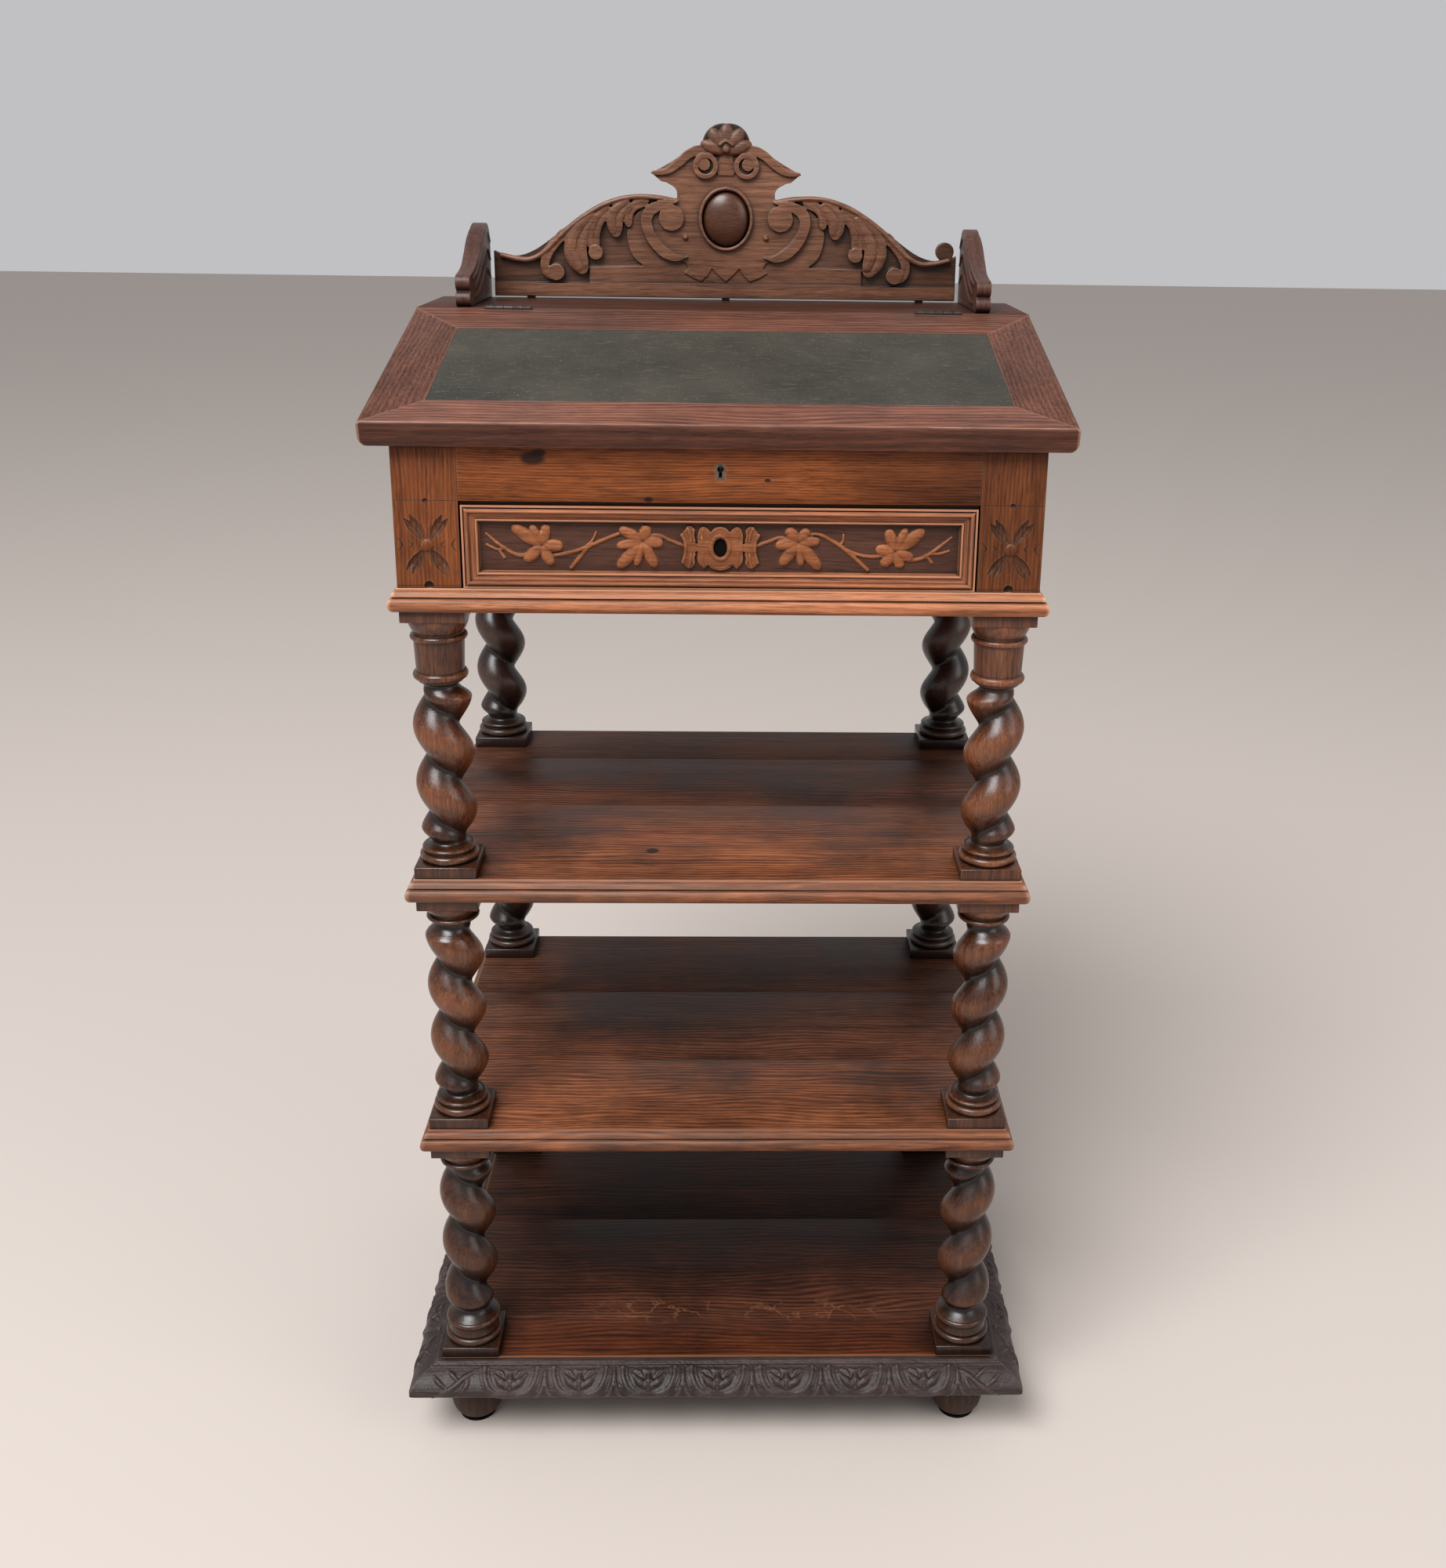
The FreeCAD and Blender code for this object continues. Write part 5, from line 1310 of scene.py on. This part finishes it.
# volute under the shell: radii of its band and eye, and the depths of band, bed and eye
volute = {"centre": (23.4, 1364.4), "outer": 14.2, "inner": 8.8, "eye": 6.9, "aside": (1.5, 1.6),
          "depths": (-0.6, 4.4, 0.2)}
crestNeck = ((0, 1354), (9, 1354), (11, 1362, 1), (8, 1372, 1), (9, 1384), (0, 1384))
cabochon = {"middle": 1306.5, "half": 26.6, "tall": 31.6, "proud": 12.5, "rim": (29.2, 33.8), "edge": 2.1,
            "rimDepth": 1.6, "depth": 7.5}
shell = {
    "root": (0, 1379),
    "balls": (((0, 1383), 4.6, -3), ((0, 1386), 11.5, 7)),    # spot, radius and depth
    "brow": (((-7, 1387.5), (0, 1391.5), (7, 1387.5)), (1.6, 1.9, 1.6), -5.2),
    # turn, length and half width
    "lobes": ((90, 31.5, 9.2), (54, 32, 8.6), (126, 32, 8.6), (20, 31, 7.6), (160, 31, 7.6)),
    "plump": (7, 3),         # thickness and depth of the lobes
    "press": (0.8, 4),       # how far pressed flat, and about which depth
}


def shellCarving(level):
    path, widths, depth = shell["brow"]
    made = [ball(spot, radius, level(deep)) for spot, radius, deep in shell["balls"]]
    made += stroke(path, widths, level(depth))
    thick, depth = shell["plump"]
    x, z = shell["root"]
    for turn, length, wide in shell["lobes"]:
        tip = (x + length * math.cos(math.radians(turn)), z + length * math.sin(math.radians(turn)))
        made.append(petal((x, z), tip, wide, thick, level(depth)))
    return joinAll(made, "gallery shell")


def galleryCarving():
    front = boxMm("gallery_board")[0].y
    shape = galleryShape

    def level(depth, side=1):
        return atDepth(front + depth, side)

    def raised(name, outline, depth, *holes, back=shape["ground"]):
        pieces.append(plate(name, outline, front + depth, front + back, *holes))

    ground = copyNode("gallery_board", "gallery ground")
    for vert in ground.data.vertices:
        if vert.co.y < (front + 1) * mm:
            vert.co.y = (front + shape["ground"]) * mm
    pieces = [ground]
    opening = oval(*shape["opening"], 0, cabochon["middle"])
    raised("gallery field", mirrored(galleryField), shape["field"], opening, back=shape["bed"])
    raised("gallery band", mirrored(galleryBand), shape["band"], opening, back=shape["bed"])
    raised("gallery rail", mirrored(galleryRail), shape["rail"], back=shape["bed"])
    raised("crest neck", mirrored(crestNeck), shape["neck"])
    sunk, flat = shape["backs"]
    rimDepth, stretch, about = shape["rims"]
    leaves, rims = [], []
    for side in (-1, 1):
        for path, widths, depth in galleryLeaves:
            path = onSide(path, side)
            pieces.append(ribbon("gallery leaf", path, widths, front + depth, front + shape["ground"]))
            leaves.append((depth + sunk, crowns(path, widths, level(depth + sunk))))
        for x, z, radius, depth in galleryEyes:
            raised("gallery eye", oval(radius, radius, side * x, z), depth)
        raised("gallery scroll", onSide(cScroll, side), shape["scroll"])
        pieces.append(ball(galleryPin["spot"], galleryPin["radius"], level(galleryPin["depth"], side)))
        rims += stroke(*galleryRim, level(rimDepth, side))
        path, widths = earBand
        pieces.append(ribbon("crest ear", onSide(path, side), widths, front + shape["crest"],
                             front + shape["ground"]))
        (x, z), (right, up) = volute["centre"], volute["aside"]
        outer, inner, eye = volute["outer"], volute["inner"], volute["eye"]
        band, bed, proud = volute["depths"]
        raised("volute band", oval(outer, outer, side * x, z), band, oval(inner, inner, side * x, z))
        raised("volute bed", oval(inner + 1, inner + 1, side * x, z), bed)
        raised("volute eye", oval(eye, eye, side * (x + right), z + up), proud)
    for depth, backs in leaves:
        pieces.append(press(joinAll(backs, "gallery leaf backs"), flat, front + depth))
    pieces.append(press(joinAll(rims, "gallery rims"), stretch, front + about))
    rim = ringPath(*cabochon["rim"], cabochon["middle"])
    pieces += stroke(rim, (cabochon["edge"],) * len(rim), level(cabochon["rimDepth"]))
    flat, about = shell["press"]
    pieces.append(press(shellCarving(level), flat, front + about))
    return carveTogether(joinAll(pieces, "carved_gallery"), *shape["carve"])


def smoothCabochon():
    front = boxMm("gallery_board")[0].y
    middle, tall = cabochon["middle"], cabochon["tall"]
    dome = applyPlace(petal((0, middle - tall), (0, middle + tall), cabochon["half"], cabochon["proud"],
                            atDepth(front + cabochon["depth"])))
    dome.name = "gallery_cabochon"
    return applyModifier(dome, "SUBSURF", levels=2, render_levels=2)


seat(galleryCarving(), "desk", "gallery_oak", galleryOak, "gallery_board", sharp=60)
seat(smoothCabochon(), "desk", "gallery_oak", cabochonOak, sharp=80)
paintNode(galleryOak, "gallery_pegs")


# brackets with fluted cheeks

bracketShape = {
    # y and z along each flute, and its half widths
    "flutes": (
        (((232, 1278), (214, 1290), (188, 1284), (160, 1266), (132, 1250), (108, 1244)),
         (2.4, 3.0, 3.2, 3.2, 3.0, 2.0)),
        (((232, 1258), (206, 1272), (176, 1262), (146, 1244), (118, 1234)), (2.2, 3.0, 3.2, 3.0, 2.0)),
        (((232, 1238), (200, 1250), (168, 1238), (136, 1226), (112, 1224)), (2.0, 2.8, 3.0, 2.6, 1.8)),
    ),
    "sink": 0.6,
    "carve": (0.8, 2, 0.6),
}


def carvedBracket(node, name):
    low, high = boxMm(node)
    pieces = [copyNode(node, name)]
    for cheek in (low.x + bracketShape["sink"], high.x - bracketShape["sink"]):
        for path, widths in bracketShape["flutes"]:
            pieces += stroke(path, widths, lambda y, z: (cheek * mm, y * mm, z * mm))
    return carveTogether(joinAll(pieces, name), *bracketShape["carve"])


for hand in ("left", "right"):
    bracket = carvedBracket(f"bracket_{hand}", f"carved_{hand}_bracket")
    seat(bracket, "desk", "gallery_oak", bracketOak, f"bracket_{hand}", sharp=60)
print("gallery carved")


# floor, light and camera

def plainFloor():
    deselectAll()
    bpy.ops.mesh.primitive_plane_add(size=40, location=(0, 0, 0))
    floor = bpy.context.object
    floor.name = "studio_floor"
    floor.data.materials.append(plainFinish("paleFloor", (0.53, 0.465, 0.42), 0.8, 0.5))


def softLight(name, place, target, size, power, colour):
    deselectAll()
    bpy.ops.object.light_add(type="AREA", location=place)
    lamp = bpy.context.object
    lamp.name = name
    lamp.data.shape = "RECTANGLE"
    lamp.data.size, lamp.data.size_y = size
    lamp.data.energy = power
    lamp.data.color = colour
    aim = Vector(target) - Vector(place)
    lamp.rotation_euler = aim.to_track_quat("-Z", "Y").to_euler()


plainFloor()
softLight("sky window", (-1.98, -3.34, 5.66), (0, -0.1, 0.8), (3.6, 2.9), 570, (0.96, 0.98, 1.0))
softLight("side fill", (4.6, -2.8, 3.5), (0, 0, 0.8), (2.8, 3.2), 75, (1.0, 0.97, 0.94))
world = bpy.data.worlds.new("studio air")
bpy.context.scene.world = world
world.use_nodes = True
air = world.node_tree
feed(air, air.nodes["Background"], {"Color": (0.86, 0.86, 0.88, 1), "Strength": 0.62})
bpy.context.scene.view_settings.view_transform = "Standard"

# place in metres, turns in radians, the rest in pixels of the image, and the sensor in mm
viewShape = {
    "place": (0.0184, -1.66975, 1.3565),
    "yaw": 0.02695, "pitch": 0.30196, "roll": 0.01472,
    "focal": 2023.54, "centre": (994.88, 852.66), "image": (1845, 2000),
    "sensor": 36,
}


def photoCamera():
    deselectAll()
    view = viewShape
    yaw, pitch, roll = view["yaw"], view["pitch"], view["roll"]
    ahead = Vector((math.sin(yaw) * math.cos(pitch), math.cos(yaw) * math.cos(pitch), -math.sin(pitch)))
    flatRight = Vector((math.cos(yaw), -math.sin(yaw), 0))
    flatUp = flatRight.cross(ahead)
    right = math.cos(roll) * flatRight + math.sin(roll) * flatUp
    up = -math.sin(roll) * flatRight + math.cos(roll) * flatUp
    bpy.ops.object.camera_add(location=view["place"])
    camera = bpy.context.object
    camera.rotation_euler = Matrix((right, up, -ahead)).transposed().to_euler()
    wide, tall = view["image"]
    camera.data.sensor_width = view["sensor"]
    camera.data.lens = view["sensor"] * view["focal"] / tall
    camera.data.shift_x = (wide / 2 - view["centre"][0]) / tall
    camera.data.shift_y = (view["centre"][1] - tall / 2) / tall
    camera.data.clip_start = 0.05
    bpy.context.scene.camera = camera


photoCamera()
print("scene ready")
